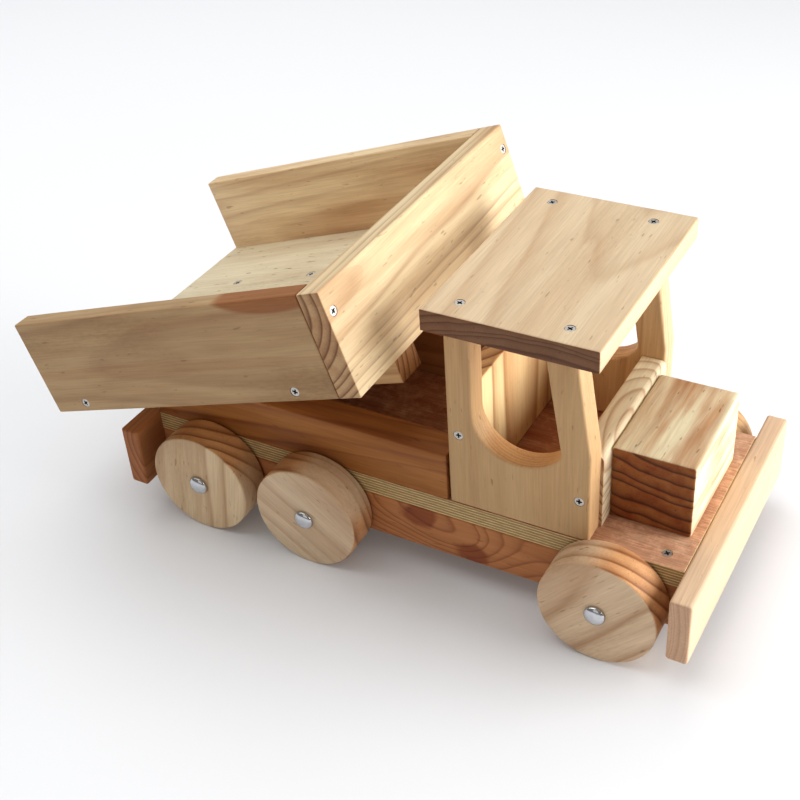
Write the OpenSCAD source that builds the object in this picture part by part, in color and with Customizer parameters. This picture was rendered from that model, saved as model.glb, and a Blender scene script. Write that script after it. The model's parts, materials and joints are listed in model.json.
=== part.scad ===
// Wooden toy tip truck: a plywood deck on two beams, six solid wheels, an open cab
// with a hood block, and a tipping tray on a cross pin.
// +X is the front, +Z is up, millimetres. The origin is on the ground, under the
// middle of the whole truck with its tray part raised.

/* [Deck and beams] */
// Length of the plywood deck
deck_len = 500; // [460:5:560]
// Width of the plywood deck
deck_w = 186; // [170:2:210]
// Thickness of the plywood deck
deck_t = 18; // [15:1:21]
// Width of each beam under the deck
beam_w = 30; // [24:1:40]
// Height of each beam under the deck
beam_h = 43; // [36:1:50]
// Length of each bumper, across the truck
bumper_len = 256; // [236:2:290]
// Thickness of each bumper
bumper_t = 18; // [16:1:22]

/* [Side rails] */
// Width of each rail that stands on the deck
rail_w = 30; // [24:1:34]
// Height of each rail that stands on the deck
rail_h = 46; // [45:0.5:48]
// Gap between the front of each rail and the cab
rail_gap = 2; // [1:0.5:4]

/* [Wheels and axles] */
// Diameter of the wheels
wheel_d = 100; // [90:1:104]
// Width of the wheels
wheel_w = 32; // [24:1:36]
// Radius on the outer edges of the wheels
wheel_round = 3; // [1:0.5:6]
// Diameter of the axles and of the tray's pin
axle_d = 8; // [6:0.5:10]
// Radial play of a wheel on its axle, and of the tray on its pin
running_play = 0.05; // [0.02:0.01:0.09]
// Distance of the rear axle from the rear of the deck
axle_rear_at = 62; // [56:1:66]
// Distance of the middle axle from the rear of the deck
axle_middle_at = 174; // [172:1:190]
// Distance of the front axle from the rear of the deck
axle_front_at = 442; // [420:1:450]
// Diameter of the push-on axle caps
cap_d = 18; // [16:1:22]
// Height of the push-on axle caps
cap_h = 5; // [4:0.5:7]

/* [Cab] */
// Distance of the back of the cab from the rear of the deck
cab_at = 300; // [295:1:310]
// Length of the cab sides at the deck
cab_len = 122; // [115:1:130]
// Height of the cab sides
cab_h = 172; // [160:1:185]
// Thickness of the cab sides
cab_side_t = 22; // [18:1:24]
// Height at which the front edge of a cab side starts to lean back
cab_kink_h = 82; // [75:1:95]
// How far the top of that edge leans back
cab_lean = 13; // [5:1:20]
// Height of the board that closes the back of the cab
back_h = 113; // [100:1:130]
// Thickness of the board that closes the back of the cab
back_t = 18; // [15:1:22]
// Height of the dash board
dash_h = 71; // [60:1:80]
// Thickness of the dash board
dash_t = 22; // [18:1:24]
// Radius on the top front edge of the dash board
dash_round = 6; // [2:1:10]
// Length of the roof, along the truck
roof_len = 143; // [138:1:150]
// Width of the roof, across the truck
roof_w = 212; // [200:2:240]
// Thickness of the roof
roof_t = 19; // [16:1:22]
// How far the roof hangs over behind the cab
roof_rear_over = 12; // [8:1:13]
// Length of the hood block, along the truck
hood_len = 68; // [55:1:74]
// Width of the hood block, across the truck
hood_w = 110; // [90:2:130]
// Height of the hood block
hood_h = 69; // [55:1:75]

/* [Cab window] */
// Width of the post behind the window
post_w = 22; // [18:1:26]
// Height of the window's sill above the deck
sill_h = 57.5; // [50:0.5:66]
// Radius of the window's rear lower corner
sill_rear_r = 38; // [30:1:42]
// Radius of the window's front lower corner
sill_front_r = 46; // [40:1:50]
// Length of the window along the sill
window_len = 75; // [70:1:78]
// How far the front edge of the window leans back
window_lean = 15; // [8:1:20]

/* [Tray] */
// Length of the tray's side boards
tray_len = 321; // [290:1:330]
// Width of the tray, over its side boards
tray_w = 308; // [280:2:330]
// Height of the tray's boards
tray_h = 90; // [70:1:110]
// Thickness of the tray's side boards
tray_side_t = 18; // [15:1:22]
// Thickness of the tray's headboard
headboard_t = 21; // [18:1:22]
// Thickness of the tray's floor
tray_floor_t = 17; // [15:1:20]
// Distance from the pin to the back of the headboard, along the tray
headboard_at = 251; // [245:1:251]
// Distance of the tray's pin from the rear of the deck
pin_at = 12; // [10:1:16]
// Height of the tray's pin above the deck
pin_h = 25; // [24:0.5:25.5]
// Width of each bearer under the tray
bearer_w = 32; // [24:1:36]
// Side play of each bearer between the rails
bearer_play = 1; // [0.5:0.5:3]
// How far the bearers stop short of the headboard
bearer_setback = 12; // [6:1:20]
// How far the tray is tipped up as drawn
tray_tilt = 19; // [0:1:70]

/* [Screws] */
// Diameter of a screw's head
screw_head_d = 8; // [7:0.5:9]
// Diameter of a screw's shank
screw_shank_d = 4; // [3.5:0.5:5]
// Length of a screw
screw_len = 32; // [28:1:32]

/* [Hidden] */
$fn = 72;
eps = 0.01;
// Flat clearance between faces of pieces that move past each other
slip = 0.3;
// How much wider a hole is than the axle or pin that is fixed in it
fixed_ease = 0.04;
// How far a cutting shape runs past the faces that it opens
past = 1;

deck_z = wheel_d / 2 - beam_h / 2 + beam_h + deck_t;
axle_z = wheel_d / 2;
beam_z = axle_z - beam_h / 2;
bumper_h = deck_t + beam_h;

tray_underside = rail_h - pin_h + slip;
tray_rim = tray_underside + tray_h;
// Rearmost point of the tipped tray, measured from the pin
tray_reach = (tray_len - headboard_at) * cos(tray_tilt) + tray_rim * sin(tray_tilt);
// The rear of the deck stands where the truck's whole length is centred on the origin
deck_rear = (tray_reach - pin_at - deck_len - bumper_t) / 2;
deck_front = deck_rear + deck_len;
pin_x = deck_rear + pin_at;
pin_z = deck_z + pin_h;

cab_x = deck_rear + cab_at;
// How far the dash board stands out in front of the cab sides
dash_proud = 2;
dash_x = cab_x + cab_len + dash_proud - dash_t;
hood_x = dash_x + dash_t;
cab_inner_w = deck_w - 2 * cab_side_t;
// How far the back panel is set in from the rear edges of the cab sides
back_inset = 1;
roof_x = cab_x - roof_rear_over;
roof_z = deck_z + cab_h;
axle_x = [deck_rear + axle_front_at, deck_rear + axle_middle_at, deck_rear + axle_rear_at];

washer_d = 2.2 * axle_d;
washer_t = 1.5;
wheel_side_play = 0.4;
wheel_inner = deck_w / 2 + washer_t + wheel_side_play;
wheel_outer = wheel_inner + wheel_w;
cap_inner = wheel_outer + wheel_side_play;
// How deep a cap swallows the end of its axle
cap_grip = 2.5;
axle_half = cap_inner + cap_grip;

bearer_outer = deck_w / 2 - rail_w - bearer_play;
bearer_inner = bearer_outer - bearer_w;
bearer_front = headboard_at - bearer_setback;

screw_sink = 0.3;
screw_head_h = 3;
// How much wider a screw's hole is than the screw
screw_ease = 0.1;

// ---- Shared shapes ----

// A cylinder along Y, centred on the origin
module rod(d, len) {
    rotate([90, 0, 0]) cylinder(d = d, h = len, center = true);
}

// A flat outline in X and Z, given thickness along Y from y0
module upright(y0, t) {
    translate([0, y0 + t, 0]) rotate([90, 0, 0]) linear_extrude(t) children();
}

// A countersunk screw with its head's face at Z = 0 and its point downwards
module screw() {
    tip_h = 5;
    slot_l = screw_head_d * 0.55;
    slot_w = 1.1;
    slot_d = 1.6;
    point_d = 0.6;
    difference() {
        union() {
            translate([0, 0, -screw_head_h])
                cylinder(d1 = screw_shank_d, d2 = screw_head_d, h = screw_head_h);
            translate([0, 0, -screw_len + tip_h])
                cylinder(d = screw_shank_d, h = screw_len - tip_h - screw_head_h + eps);
            translate([0, 0, -screw_len])
                cylinder(d1 = point_d, d2 = screw_shank_d, h = tip_h);
        }
        for (a = [45, 135])
            rotate([0, 0, a]) translate([-slot_l / 2, -slot_w / 2, -slot_d])
                cube([slot_l, slot_w, slot_d + past]);
    }
}

// The hole that such a screw needs, open above
module screw_hole() {
    shank_hole_d = screw_shank_d + screw_ease;
    head_hole_d = screw_head_d + screw_ease;
    // A little deeper than the screw's point
    spare = 0.5;
    translate([0, 0, -screw_len - spare]) cylinder(d = shank_hole_d, h = screw_len + past);
    translate([0, 0, -screw_head_h])
        cylinder(d1 = shank_hole_d, d2 = head_hole_d, h = screw_head_h);
    translate([0, 0, -eps]) cylinder(d = head_hole_d, h = screw_sink + past);
}

// ---- Where the screws go ----

module at_roof_screws() {
    // Over the posts behind and in front of the window
    rear_post_at = 12;
    front_post_at = 100;
    for (at = [rear_post_at, front_post_at], s = [-1, 1])
        translate([cab_x + at, s * (deck_w / 2 - cab_side_t / 3), roof_z + roof_t - screw_sink])
            children();
}

module at_cab_side_screws() {
    back_screw_h = 71;
    dash_screw_h = 39;
    back_place = [cab_x + back_inset + back_t / 2, back_screw_h];
    dash_place = [dash_x + dash_t / 2, dash_screw_h];
    for (s = [-1, 1], p = [back_place, dash_place])
        translate([p[0], s * (deck_w / 2 - screw_sink), deck_z + p[1]])
            rotate([-90 * s, 0, 0]) children();
}

module at_deck_screws() {
    from_front = 19;
    for (s = [-1, 1])
        translate([deck_front - from_front, s * (deck_w / 2 - beam_w / 2), deck_z - screw_sink])
            children();
}

// The tray's own frame has its origin on the pin and lies level
module at_headboard_screws() {
    screw_up = 70;
    for (s = [-1, 1])
        translate([headboard_at + headboard_t - screw_sink, s * (tray_w / 2 - tray_side_t / 2),
            tray_underside + screw_up]) rotate([0, 90, 0]) children();
}

module at_tray_side_screws() {
    from_end = 40;
    for (s = [-1, 1], x = [headboard_at - tray_len + from_end, headboard_at - from_end])
        translate([x, s * (tray_w / 2 - screw_sink), tray_underside + tray_floor_t / 2])
            rotate([-90 * s, 0, 0]) children();
}

module at_tray_floor_screws() {
    rear_screw_at = 72;
    front_screw_at = 164;
    for (s = [-1, 1], from_rear = [rear_screw_at, front_screw_at])
        translate([headboard_at - tray_len + from_rear, s * (bearer_inner + bearer_w / 2),
            tray_underside + tray_floor_t - screw_sink]) children();
}

// ---- Deck, beams, rails and bumpers ----

module deck_board() {
    color([0.76, 0.52, 0.36]) difference() {
        translate([deck_rear, -deck_w / 2, deck_z - deck_t]) cube([deck_len, deck_w, deck_t]);
        at_deck_screws() screw_hole();
    }
}

module beam(side) {
    y0 = side > 0 ? deck_w / 2 - beam_w : -deck_w / 2;
    color([0.72, 0.5, 0.33]) difference() {
        translate([deck_rear, y0, beam_z]) cube([deck_len, beam_w, beam_h]);
        for (x = axle_x)
            translate([x, side * deck_w / 2, axle_z]) rod(axle_d + fixed_ease, 3 * beam_w);
        at_deck_screws() screw_hole();
    }
}
module chassis_beam_right() { beam(-1); }
module chassis_beam_left() { beam(1); }

// Its rear top corner is rounded about the pin, so that the tray's floor turns past it
module rail(side) {
    y0 = side > 0 ? deck_w / 2 - rail_w : -deck_w / 2;
    corner_r = rail_h - pin_h;
    color([0.8, 0.62, 0.42]) difference() {
        translate([deck_rear, y0, deck_z]) cube([cab_at - rail_gap, rail_w, rail_h]);
        translate([pin_x, side * deck_w / 2, pin_z]) rod(axle_d + fixed_ease, 3 * rail_w);
        translate([pin_x, 0, pin_z]) upright(y0 - past, rail_w + 2 * past) difference() {
            translate([-corner_r, 0]) square([corner_r, corner_r + past]);
            circle(r = corner_r);
        }
    }
}
module side_rail_right() { rail(-1); }
module side_rail_left() { rail(1); }

module bumper(x) {
    color([0.86, 0.72, 0.52])
        translate([x, -bumper_len / 2, beam_z]) cube([bumper_t, bumper_len, bumper_h]);
}
module front_bumper() { bumper(deck_front); }
module rear_bumper() { bumper(deck_rear - bumper_t); }

// ---- Cab ----

module hood_block() {
    color([0.66, 0.4, 0.24])
        translate([hood_x, -hood_w / 2, deck_z]) cube([hood_len, hood_w, hood_h]);
}

// The window's outline: a rear and a front lower corner of different radii, and a front
// edge that leans back
module window_outline() {
    centre_x = post_w + sill_rear_r;
    front_x = post_w + window_len;
    rear_round_h = sill_h + sill_rear_r;
    front_round_h = sill_h + sill_front_r;
    // The front edge stands upright this far above the sill, and then leans back
    upright_h = 22;
    lean_from_h = sill_h + upright_h;
    top_h = cab_h + 5 * past;
    intersection() {
        union() {
            translate([centre_x, rear_round_h]) circle(r = sill_rear_r);
            translate([post_w, rear_round_h]) square([sill_rear_r, top_h - rear_round_h]);
        }
        translate([post_w, sill_h]) square([sill_rear_r, top_h - sill_h]);
    }
    intersection() {
        union() {
            translate([centre_x, front_round_h]) circle(r = sill_front_r);
            translate([centre_x, front_round_h])
                square([front_x - centre_x, top_h - front_round_h]);
        }
        polygon([[centre_x, sill_h], [front_x, sill_h], [front_x, lean_from_h],
            [front_x - window_lean, top_h], [centre_x, top_h]]);
    }
}

module cab_side(side) {
    y0 = side > 0 ? deck_w / 2 - cab_side_t : -deck_w / 2;
    color([0.88, 0.76, 0.56]) difference() {
        translate([cab_x, 0, deck_z]) upright(y0, cab_side_t) difference() {
            polygon([[0, 0], [cab_len, 0], [cab_len, cab_kink_h],
                [cab_len - cab_lean, cab_h], [0, cab_h]]);
            window_outline();
        }
        at_roof_screws() screw_hole();
        at_cab_side_screws() screw_hole();
    }
}
module cab_side_right() { cab_side(-1); }
module cab_side_left() { cab_side(1); }

module cab_back_panel() {
    color([0.86, 0.7, 0.48]) difference() {
        translate([cab_x + back_inset, -cab_inner_w / 2, deck_z])
            cube([back_t, cab_inner_w, back_h]);
        at_cab_side_screws() screw_hole();
    }
}

module dash_board() {
    color([0.86, 0.68, 0.46]) difference() {
        union() {
            translate([dash_x, -cab_inner_w / 2, deck_z])
                cube([dash_t, cab_inner_w, dash_h - dash_round]);
            translate([dash_x, -cab_inner_w / 2, deck_z])
                cube([dash_t - dash_round, cab_inner_w, dash_h]);
            translate([dash_x + dash_t - dash_round, 0, deck_z + dash_h - dash_round])
                rod(2 * dash_round, cab_inner_w);
        }
        at_cab_side_screws() screw_hole();
    }
}

module cab_roof() {
    color([0.9, 0.79, 0.6]) difference() {
        translate([roof_x, -roof_w / 2, roof_z]) cube([roof_len, roof_w, roof_t]);
        at_roof_screws() screw_hole();
    }
}

// ---- Axles and wheels ----

module axle(i) {
    color("silver") translate([axle_x[i], 0, axle_z]) rod(axle_d, 2 * axle_half);
}
module axle_front() { axle(0); }
module axle_middle() { axle(1); }
module axle_rear() { axle(2); }

module axle_washers() {
    color("silver") for (x = axle_x, s = [-1, 1])
        translate([x, s * (deck_w / 2 + washer_t / 2), axle_z]) difference() {
            rod(washer_d, washer_t);
            rod(axle_d + fixed_ease, washer_t + past);
        }
}

// A domed cap, its open side at Z = 0 and its dome upwards
module cap() {
    rim_h = 1;
    rise = cap_h - rim_h;
    // Radius of the sphere that the dome is cut from
    dome_r = (cap_d * cap_d / 4 + rise * rise) / (2 * rise);
    difference() {
        union() {
            cylinder(d = cap_d, h = rim_h);
            translate([0, 0, rim_h]) intersection() {
                translate([0, 0, rise - dome_r]) sphere(r = dome_r);
                cylinder(d = cap_d, h = cap_h);
            }
        }
        translate([0, 0, -past]) cylinder(d = axle_d + fixed_ease, h = cap_grip + past + 2 * eps);
    }
}

module axle_caps() {
    color("gainsboro") for (x = axle_x, s = [-1, 1])
        translate([x, s * cap_inner, axle_z]) rotate([-90 * s, 0, 0]) cap();
}

module wheel(i, side) {
    r = wheel_d / 2;
    bore_r = axle_d / 2 + running_play;
    inner_bevel = 1;
    rounding = [for (a = [0:15:90])
        [r - wheel_round + wheel_round * cos(a), wheel_w - wheel_round + wheel_round * sin(a)]];
    profile = concat([[bore_r, 0], [r - inner_bevel, 0], [r, inner_bevel]],
        rounding, [[bore_r, wheel_w]]);
    color([0.8, 0.62, 0.42]) translate([axle_x[i], side * wheel_inner, axle_z])
        rotate([-90 * side, 0, 0]) rotate_extrude() polygon(profile);
}
module wheel_front_right() { wheel(0, -1); }
module wheel_front_left() { wheel(0, 1); }
module wheel_middle_right() { wheel(1, -1); }
module wheel_middle_left() { wheel(1, 1); }
module wheel_rear_right() { wheel(2, -1); }
module wheel_rear_left() { wheel(2, 1); }

// ---- Tray ----

module place_tray() {
    translate([pin_x, 0, pin_z]) rotate([0, -tray_tilt, 0]) children();
}

module tray_pivot_pin() {
    color("silver") translate([pin_x, 0, pin_z]) rod(axle_d, deck_w);
}

module tray_floor() {
    inner_w = tray_w - 2 * tray_side_t;
    color([0.82, 0.7, 0.5]) place_tray() difference() {
        translate([headboard_at - tray_len, -inner_w / 2, tray_underside])
            cube([tray_len, inner_w, tray_floor_t]);
        at_tray_side_screws() screw_hole();
        at_tray_floor_screws() screw_hole();
    }
}

module tray_side(side) {
    y0 = side > 0 ? tray_w / 2 - tray_side_t : -tray_w / 2;
    color([0.84, 0.68, 0.46]) place_tray() difference() {
        translate([headboard_at - tray_len, y0, tray_underside])
            cube([tray_len, tray_side_t, tray_h]);
        at_tray_side_screws() screw_hole();
        at_headboard_screws() screw_hole();
    }
}
module tray_side_right() { tray_side(-1); }
module tray_side_left() { tray_side(1); }

module tray_headboard() {
    color([0.88, 0.72, 0.48]) place_tray() difference() {
        translate([headboard_at, -tray_w / 2, tray_underside])
            cube([headboard_t, tray_w, tray_h]);
        at_headboard_screws() screw_hole();
    }
}

// As deep below the pin as above it, and rounded about it to turn clear of the deck
module bearer_outline() {
    circle(r = tray_underside);
    translate([-tray_underside, 0]) square([tray_underside, tray_underside]);
    translate([0, -tray_underside]) square([bearer_front, 2 * tray_underside]);
}

module bearer(side) {
    y0 = side > 0 ? bearer_inner : -bearer_outer;
    color([0.82, 0.64, 0.44]) place_tray() difference() {
        upright(y0, bearer_w) bearer_outline();
        rod(axle_d + 2 * running_play, deck_w);
        at_tray_floor_screws() screw_hole();
    }
}
module tray_bearer_right() { bearer(-1); }
module tray_bearer_left() { bearer(1); }

// ---- Screws ----

module roof_screws() { color("silver") at_roof_screws() screw(); }
module cab_side_screws() { color("silver") at_cab_side_screws() screw(); }
module deck_screws() { color("silver") at_deck_screws() screw(); }
module headboard_screws() { color("silver") place_tray() at_headboard_screws() screw(); }
module tray_side_screws() { color("silver") place_tray() at_tray_side_screws() screw(); }
module tray_floor_screws() { color("silver") place_tray() at_tray_floor_screws() screw(); }

deck_board();
chassis_beam_right();
chassis_beam_left();
side_rail_right();
side_rail_left();
front_bumper();
rear_bumper();
hood_block();
cab_side_right();
cab_side_left();
cab_back_panel();
dash_board();
cab_roof();
axle_front();
axle_middle();
axle_rear();
axle_washers();
axle_caps();
wheel_front_right();
wheel_front_left();
wheel_middle_right();
wheel_middle_left();
wheel_rear_right();
wheel_rear_left();
tray_pivot_pin();
tray_floor();
tray_side_right();
tray_side_left();
tray_headboard();
tray_bearer_right();
tray_bearer_left();
roof_screws();
cab_side_screws();
deck_screws();
headboard_screws();
tray_side_screws();
tray_floor_screws();
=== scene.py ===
"""A wooden toy tip truck: the looks of its boards, wheels, caps and screws, built on its frame."""
import json
import math

import bmesh
import bpy
from mathutils import Matrix, Vector, noise

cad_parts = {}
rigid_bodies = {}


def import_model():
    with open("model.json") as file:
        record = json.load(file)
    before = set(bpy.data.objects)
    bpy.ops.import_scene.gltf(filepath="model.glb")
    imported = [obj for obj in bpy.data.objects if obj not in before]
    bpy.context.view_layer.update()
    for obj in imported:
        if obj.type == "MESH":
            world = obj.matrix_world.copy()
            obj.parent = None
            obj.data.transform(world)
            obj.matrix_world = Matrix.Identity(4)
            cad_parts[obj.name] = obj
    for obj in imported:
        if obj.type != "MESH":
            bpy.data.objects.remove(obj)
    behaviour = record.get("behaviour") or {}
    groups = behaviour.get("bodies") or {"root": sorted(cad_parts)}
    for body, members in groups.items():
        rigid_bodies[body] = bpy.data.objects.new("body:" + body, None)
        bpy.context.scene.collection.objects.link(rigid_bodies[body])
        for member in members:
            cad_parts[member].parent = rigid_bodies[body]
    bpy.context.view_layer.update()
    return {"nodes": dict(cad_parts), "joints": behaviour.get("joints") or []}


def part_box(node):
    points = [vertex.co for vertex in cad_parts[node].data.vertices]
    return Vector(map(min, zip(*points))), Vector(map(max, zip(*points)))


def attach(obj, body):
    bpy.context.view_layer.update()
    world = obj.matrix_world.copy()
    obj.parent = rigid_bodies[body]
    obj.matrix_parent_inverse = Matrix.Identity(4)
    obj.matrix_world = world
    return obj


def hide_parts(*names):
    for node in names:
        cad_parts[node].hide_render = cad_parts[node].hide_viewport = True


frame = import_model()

bl_info = {
    "name": "Wooden Tip Truck",
    "version": (1, 0, 0),
    "blender": (4, 5, 0),
    "location": "View3D > Sidebar > Tip Truck",
    "description": "Builds the boards, wheels, caps and screws of a wooden toy tip truck",
    "category": "Object",
}

# The tray has its own axes: their origin is on its pin, and they are tipped with it.
TRAY_JOINT = next(j for j in frame["joints"] if j["name"] == "tray_tip")
TRAY_TIPPED = math.radians(-TRAY_JOINT["range_deg"][0])
TRAY_AXES = Matrix.Translation(TRAY_JOINT["pos_m"]) @ Matrix.Rotation(-TRAY_TIPPED, 4, "Y")
TRUCK_AXES = Matrix.Identity(4)

# Holes along Y, in metres: radius round a pin that stays put, radius where the board turns on its
# pin, and how far outside the wood each drill starts.
PIN_HOLE = 0.00405
BEARING_HOLE = 0.0041
DRILL_OUT = 0.005
DRILL_SIDES = 40

# Play round a screw's head and its shank
HEAD_GAP = 0.00035
SHANK_GAP = 0.0001

# Mesh lines of an eased edge, as shares of its radius: the board's edge, a quarter of the way
# round, the end of the easing and a little past it.
EASE_LINES = (0.0, 0.586, 1.0, 1.7)
WANDER_SCALE = 28

# Edges that are hardly eased: the plywood, the dash board, and the tray floor as a share of the rest
DECK_EASE = 0.0007
DASH_EASE = 0.0006
TRAY_FLOOR_SHARE = 0.6

# How far two faces turn before the edge between them is eased or stays sharp
SAWN_CORNER = math.radians(20)
SHARP_BOARD = math.radians(38)
SHARP_DRILLED = math.radians(32)
SHARP_TURNED = math.radians(40)

PLIES = 13
AXLES = ("axle_front", "axle_middle", "axle_rear")
CAP_SKIRT = 0.001
CAP_RISE = 0.004

# Height above the sill at which the window's front corner meets the leaning edge
FRONT_CORNER_TOP = 0.022

# The wheels' radius, for which the sanding of their rims is worked out
WHEEL_RADIUS = 0.05

# How a board lies: the directions of its grain and of its width.
ALONG = {
    "x_flat": ((1, 0, 0), (0, 1, 0)),
    "x_on_edge": ((1, 0, 0), (0, 0, 1)),
    "y_flat": ((0, 1, 0), (1, 0, 0)),
    "y_on_edge": ((0, 1, 0), (0, 0, 1)),
    "z_upright": ((0, 0, 1), (1, 0, 0)),
    "z_across": ((0, 0, 1), (0, 1, 0)),
}


# ---- Sizes and colours ----

class TruckSizes(bpy.types.PropertyGroup):
    ease: bpy.props.FloatProperty(
        name="Eased edge", description="Radius sanded on the edges of the boards",
        default=0.0014, min=0.0004, max=0.003, unit="LENGTH")
    bumper_ease: bpy.props.FloatProperty(
        name="Bumper edge", description="Radius sanded on the edges of the bumpers and the hood",
        default=0.0024, min=0.0004, max=0.005, unit="LENGTH")
    window_ease: bpy.props.FloatProperty(
        name="Cab edge", description="Radius sanded on the cab sides and round their windows",
        default=0.0022, min=0.0004, max=0.004, unit="LENGTH")
    wander: bpy.props.FloatProperty(
        name="Uneven sanding", description="How much the eased edges vary along a board",
        default=0.3, min=0.0, max=0.5, subtype="FACTOR")
    grid: bpy.props.FloatProperty(
        name="Mesh size", description="Length of the faces of a board's mesh",
        default=0.014, min=0.005, max=0.05, unit="LENGTH")
    post: bpy.props.FloatProperty(
        name="Window post", description="Width of the cab side's post behind the window",
        default=0.022, unit="LENGTH")
    sill: bpy.props.FloatProperty(
        name="Window sill", description="Height of the window's sill above the deck",
        default=0.0575, unit="LENGTH")
    rear_corner: bpy.props.FloatProperty(
        name="Rear corner", description="Radius of the window's rear lower corner",
        default=0.038, unit="LENGTH")
    front_corner: bpy.props.FloatProperty(
        name="Front corner", description="Radius of the window's front lower corner",
        default=0.046, unit="LENGTH")
    window: bpy.props.FloatProperty(
        name="Window length", description="Length of the window along the sill",
        default=0.075, unit="LENGTH")
    window_lean: bpy.props.FloatProperty(
        name="Window lean", description="How far the window's front edge leans back at the roof",
        default=0.0142, unit="LENGTH")
    cab_kink: bpy.props.FloatProperty(
        name="Cab kink", description="Height at which the cab's front edge starts to lean back",
        default=0.082, unit="LENGTH")
    cab_lean: bpy.props.FloatProperty(
        name="Cab lean", description="How far the cab's front edge leans back at the roof",
        default=0.013, unit="LENGTH")
    dash_round: bpy.props.FloatProperty(
        name="Dash edge", description="Radius of the dash board's top front edge",
        default=0.006, unit="LENGTH")
    wheel_round: bpy.props.FloatProperty(
        name="Wheel edge", description="Radius on the outer edges of the wheels",
        default=0.002, unit="LENGTH")
    wheel_bore: bpy.props.FloatProperty(
        name="Wheel bore", description="Radius of the hole through a wheel",
        default=0.00405, unit="LENGTH")
    screw_head: bpy.props.FloatProperty(
        name="Screw head", description="Radius of a screw's head",
        default=0.004, unit="LENGTH")
    screw_shank: bpy.props.FloatProperty(
        name="Screw shank", description="Radius of a screw's shank",
        default=0.002, unit="LENGTH")
    screw_length: bpy.props.FloatProperty(
        name="Screw length", description="Length of a screw",
        default=0.032, unit="LENGTH")


class TruckColours(bpy.types.PropertyGroup):
    pale: bpy.props.FloatVectorProperty(
        name="Pale pine", description="Early wood of the palest boards",
        subtype="COLOR", size=3, min=0.0, max=1.0, default=(0.80, 0.60, 0.36))
    golden: bpy.props.FloatVectorProperty(
        name="Golden pine", description="Early wood of the golden boards",
        subtype="COLOR", size=3, min=0.0, max=1.0, default=(0.74, 0.49, 0.25))
    ring: bpy.props.FloatVectorProperty(
        name="Late wood", description="The dark line of each year's growth",
        subtype="COLOR", size=3, min=0.0, max=1.0, default=(0.42, 0.19, 0.07))
    heart: bpy.props.FloatVectorProperty(
        name="Heart wood", description="The redder wood near the middle of the trunk",
        subtype="COLOR", size=3, min=0.0, max=1.0, default=(0.56, 0.25, 0.09))
    veneer: bpy.props.FloatVectorProperty(
        name="Veneer", description="Face of the plywood deck",
        subtype="COLOR", size=3, min=0.0, max=1.0, default=(0.52, 0.24, 0.13))
    floor: bpy.props.FloatVectorProperty(
        name="Floor", description="The pale floor that the truck stands on",
        subtype="COLOR", size=3, min=0.0, max=1.0, default=(0.63, 0.635, 0.65))


# ---- Shapes ----

def box_in(axes, node):
    """Lowest and highest corner of a CAD node, measured along the given axes."""
    back = axes.inverted()
    points = [back @ v.co for v in frame["nodes"][node].data.vertices]
    lo = Vector([min(p[i] for p in points) for i in range(3)])
    hi = Vector([max(p[i] for p in points) for i in range(3)])
    return lo, hi


def seat_of(axes, lo, hi, lie):
    """The axes of a board: origin at its middle, X along the grain and Y along the width."""
    grain, width = (Vector(d) for d in ALONG[lie])
    turn = Matrix((grain, width, grain.cross(width))).transposed().to_4x4()
    return axes @ Matrix.Translation((lo + hi) / 2) @ turn


def half_sizes(lo, hi, lie):
    """Half the board's length, width and thickness."""
    grain, width = (Vector(d) for d in ALONG[lie])
    half = (hi - lo) / 2
    return [abs(half.dot(d)) for d in (grain, width, grain.cross(width))]


def eased_lines(lo, hi, ease, cell):
    """Where the mesh lines of a board run from lo to hi, close together at the eased edges."""
    near = [share * ease for share in EASE_LINES]
    start = [lo + d for d in near]
    stop = [hi - d for d in reversed(near)]
    count = max(1, round((stop[0] - start[-1]) / cell))
    step = (stop[0] - start[-1]) / count
    return start + [start[-1] + step * i for i in range(1, count)] + stop


def eased_board(lo, hi, ease, sizes, seed):
    """A planed board with edges sanded by hand, a little more here than there."""
    lines = [eased_lines(lo[a], hi[a], ease, sizes.grid) for a in range(3)]
    ends = [len(line) - 1 for line in lines]
    shape = bmesh.new()
    made = {}

    def vertex(place):
        if place not in made:
            p = Vector([lines[a][place[a]] for a in range(3)])
            rub = 1 + sizes.wander * noise.noise(p * WANDER_SCALE + Vector((seed, 0, 0)))
            inner = Vector([min(max(p[a], lo[a] + ease * rub), hi[a] - ease * rub) for a in range(3)])
            made[place] = shape.verts.new(inner + (p - inner).normalized() * ease * rub)
        return made[place]

    for a in range(3):
        b, c = (a + 1) % 3, (a + 2) % 3
        for side in (0, ends[a]):
            for i in range(ends[b]):
                for j in range(ends[c]):
                    ring = []
                    for di, dj in ((0, 0), (1, 0), (1, 1), (0, 1)):
                        place = [0, 0, 0]
                        place[a], place[b], place[c] = side, i + di, j + dj
                        ring.append(vertex(tuple(place)))
                    shape.faces.new(ring)
    bmesh.ops.recalc_face_normals(shape, faces=shape.faces)
    return shape


def sawn_board(outline, near, far, ease):
    """A board sawn to an outline in X and Z, from Y near to Y far, with eased edges."""
    shape = bmesh.new()
    ring = [shape.verts.new((x, near, z)) for x, z in outline]
    first = shape.faces.new(ring)
    grown = bmesh.ops.extrude_face_region(shape, geom=[first])
    moved = [g for g in grown["geom"] if isinstance(g, bmesh.types.BMVert)]
    bmesh.ops.translate(shape, verts=moved, vec=(0, far - near, 0))
    bmesh.ops.recalc_face_normals(shape, faces=shape.faces)
    sharp = [e for e in shape.edges if e.calc_face_angle(0) > SAWN_CORNER]
    bmesh.ops.bevel(shape, geom=sharp, offset=ease, offset_type="OFFSET", segments=4,
                    profile=0.5, affect="EDGES", clamp_overlap=True)
    flat = [f for f in shape.faces if len(f.verts) > 4 and abs(f.normal.y) > 0.99]
    bmesh.ops.inset_individual(shape, faces=flat, thickness=ease * 0.5, use_even_offset=True)
    bmesh.ops.recalc_face_normals(shape, faces=shape.faces)
    return shape


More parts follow.
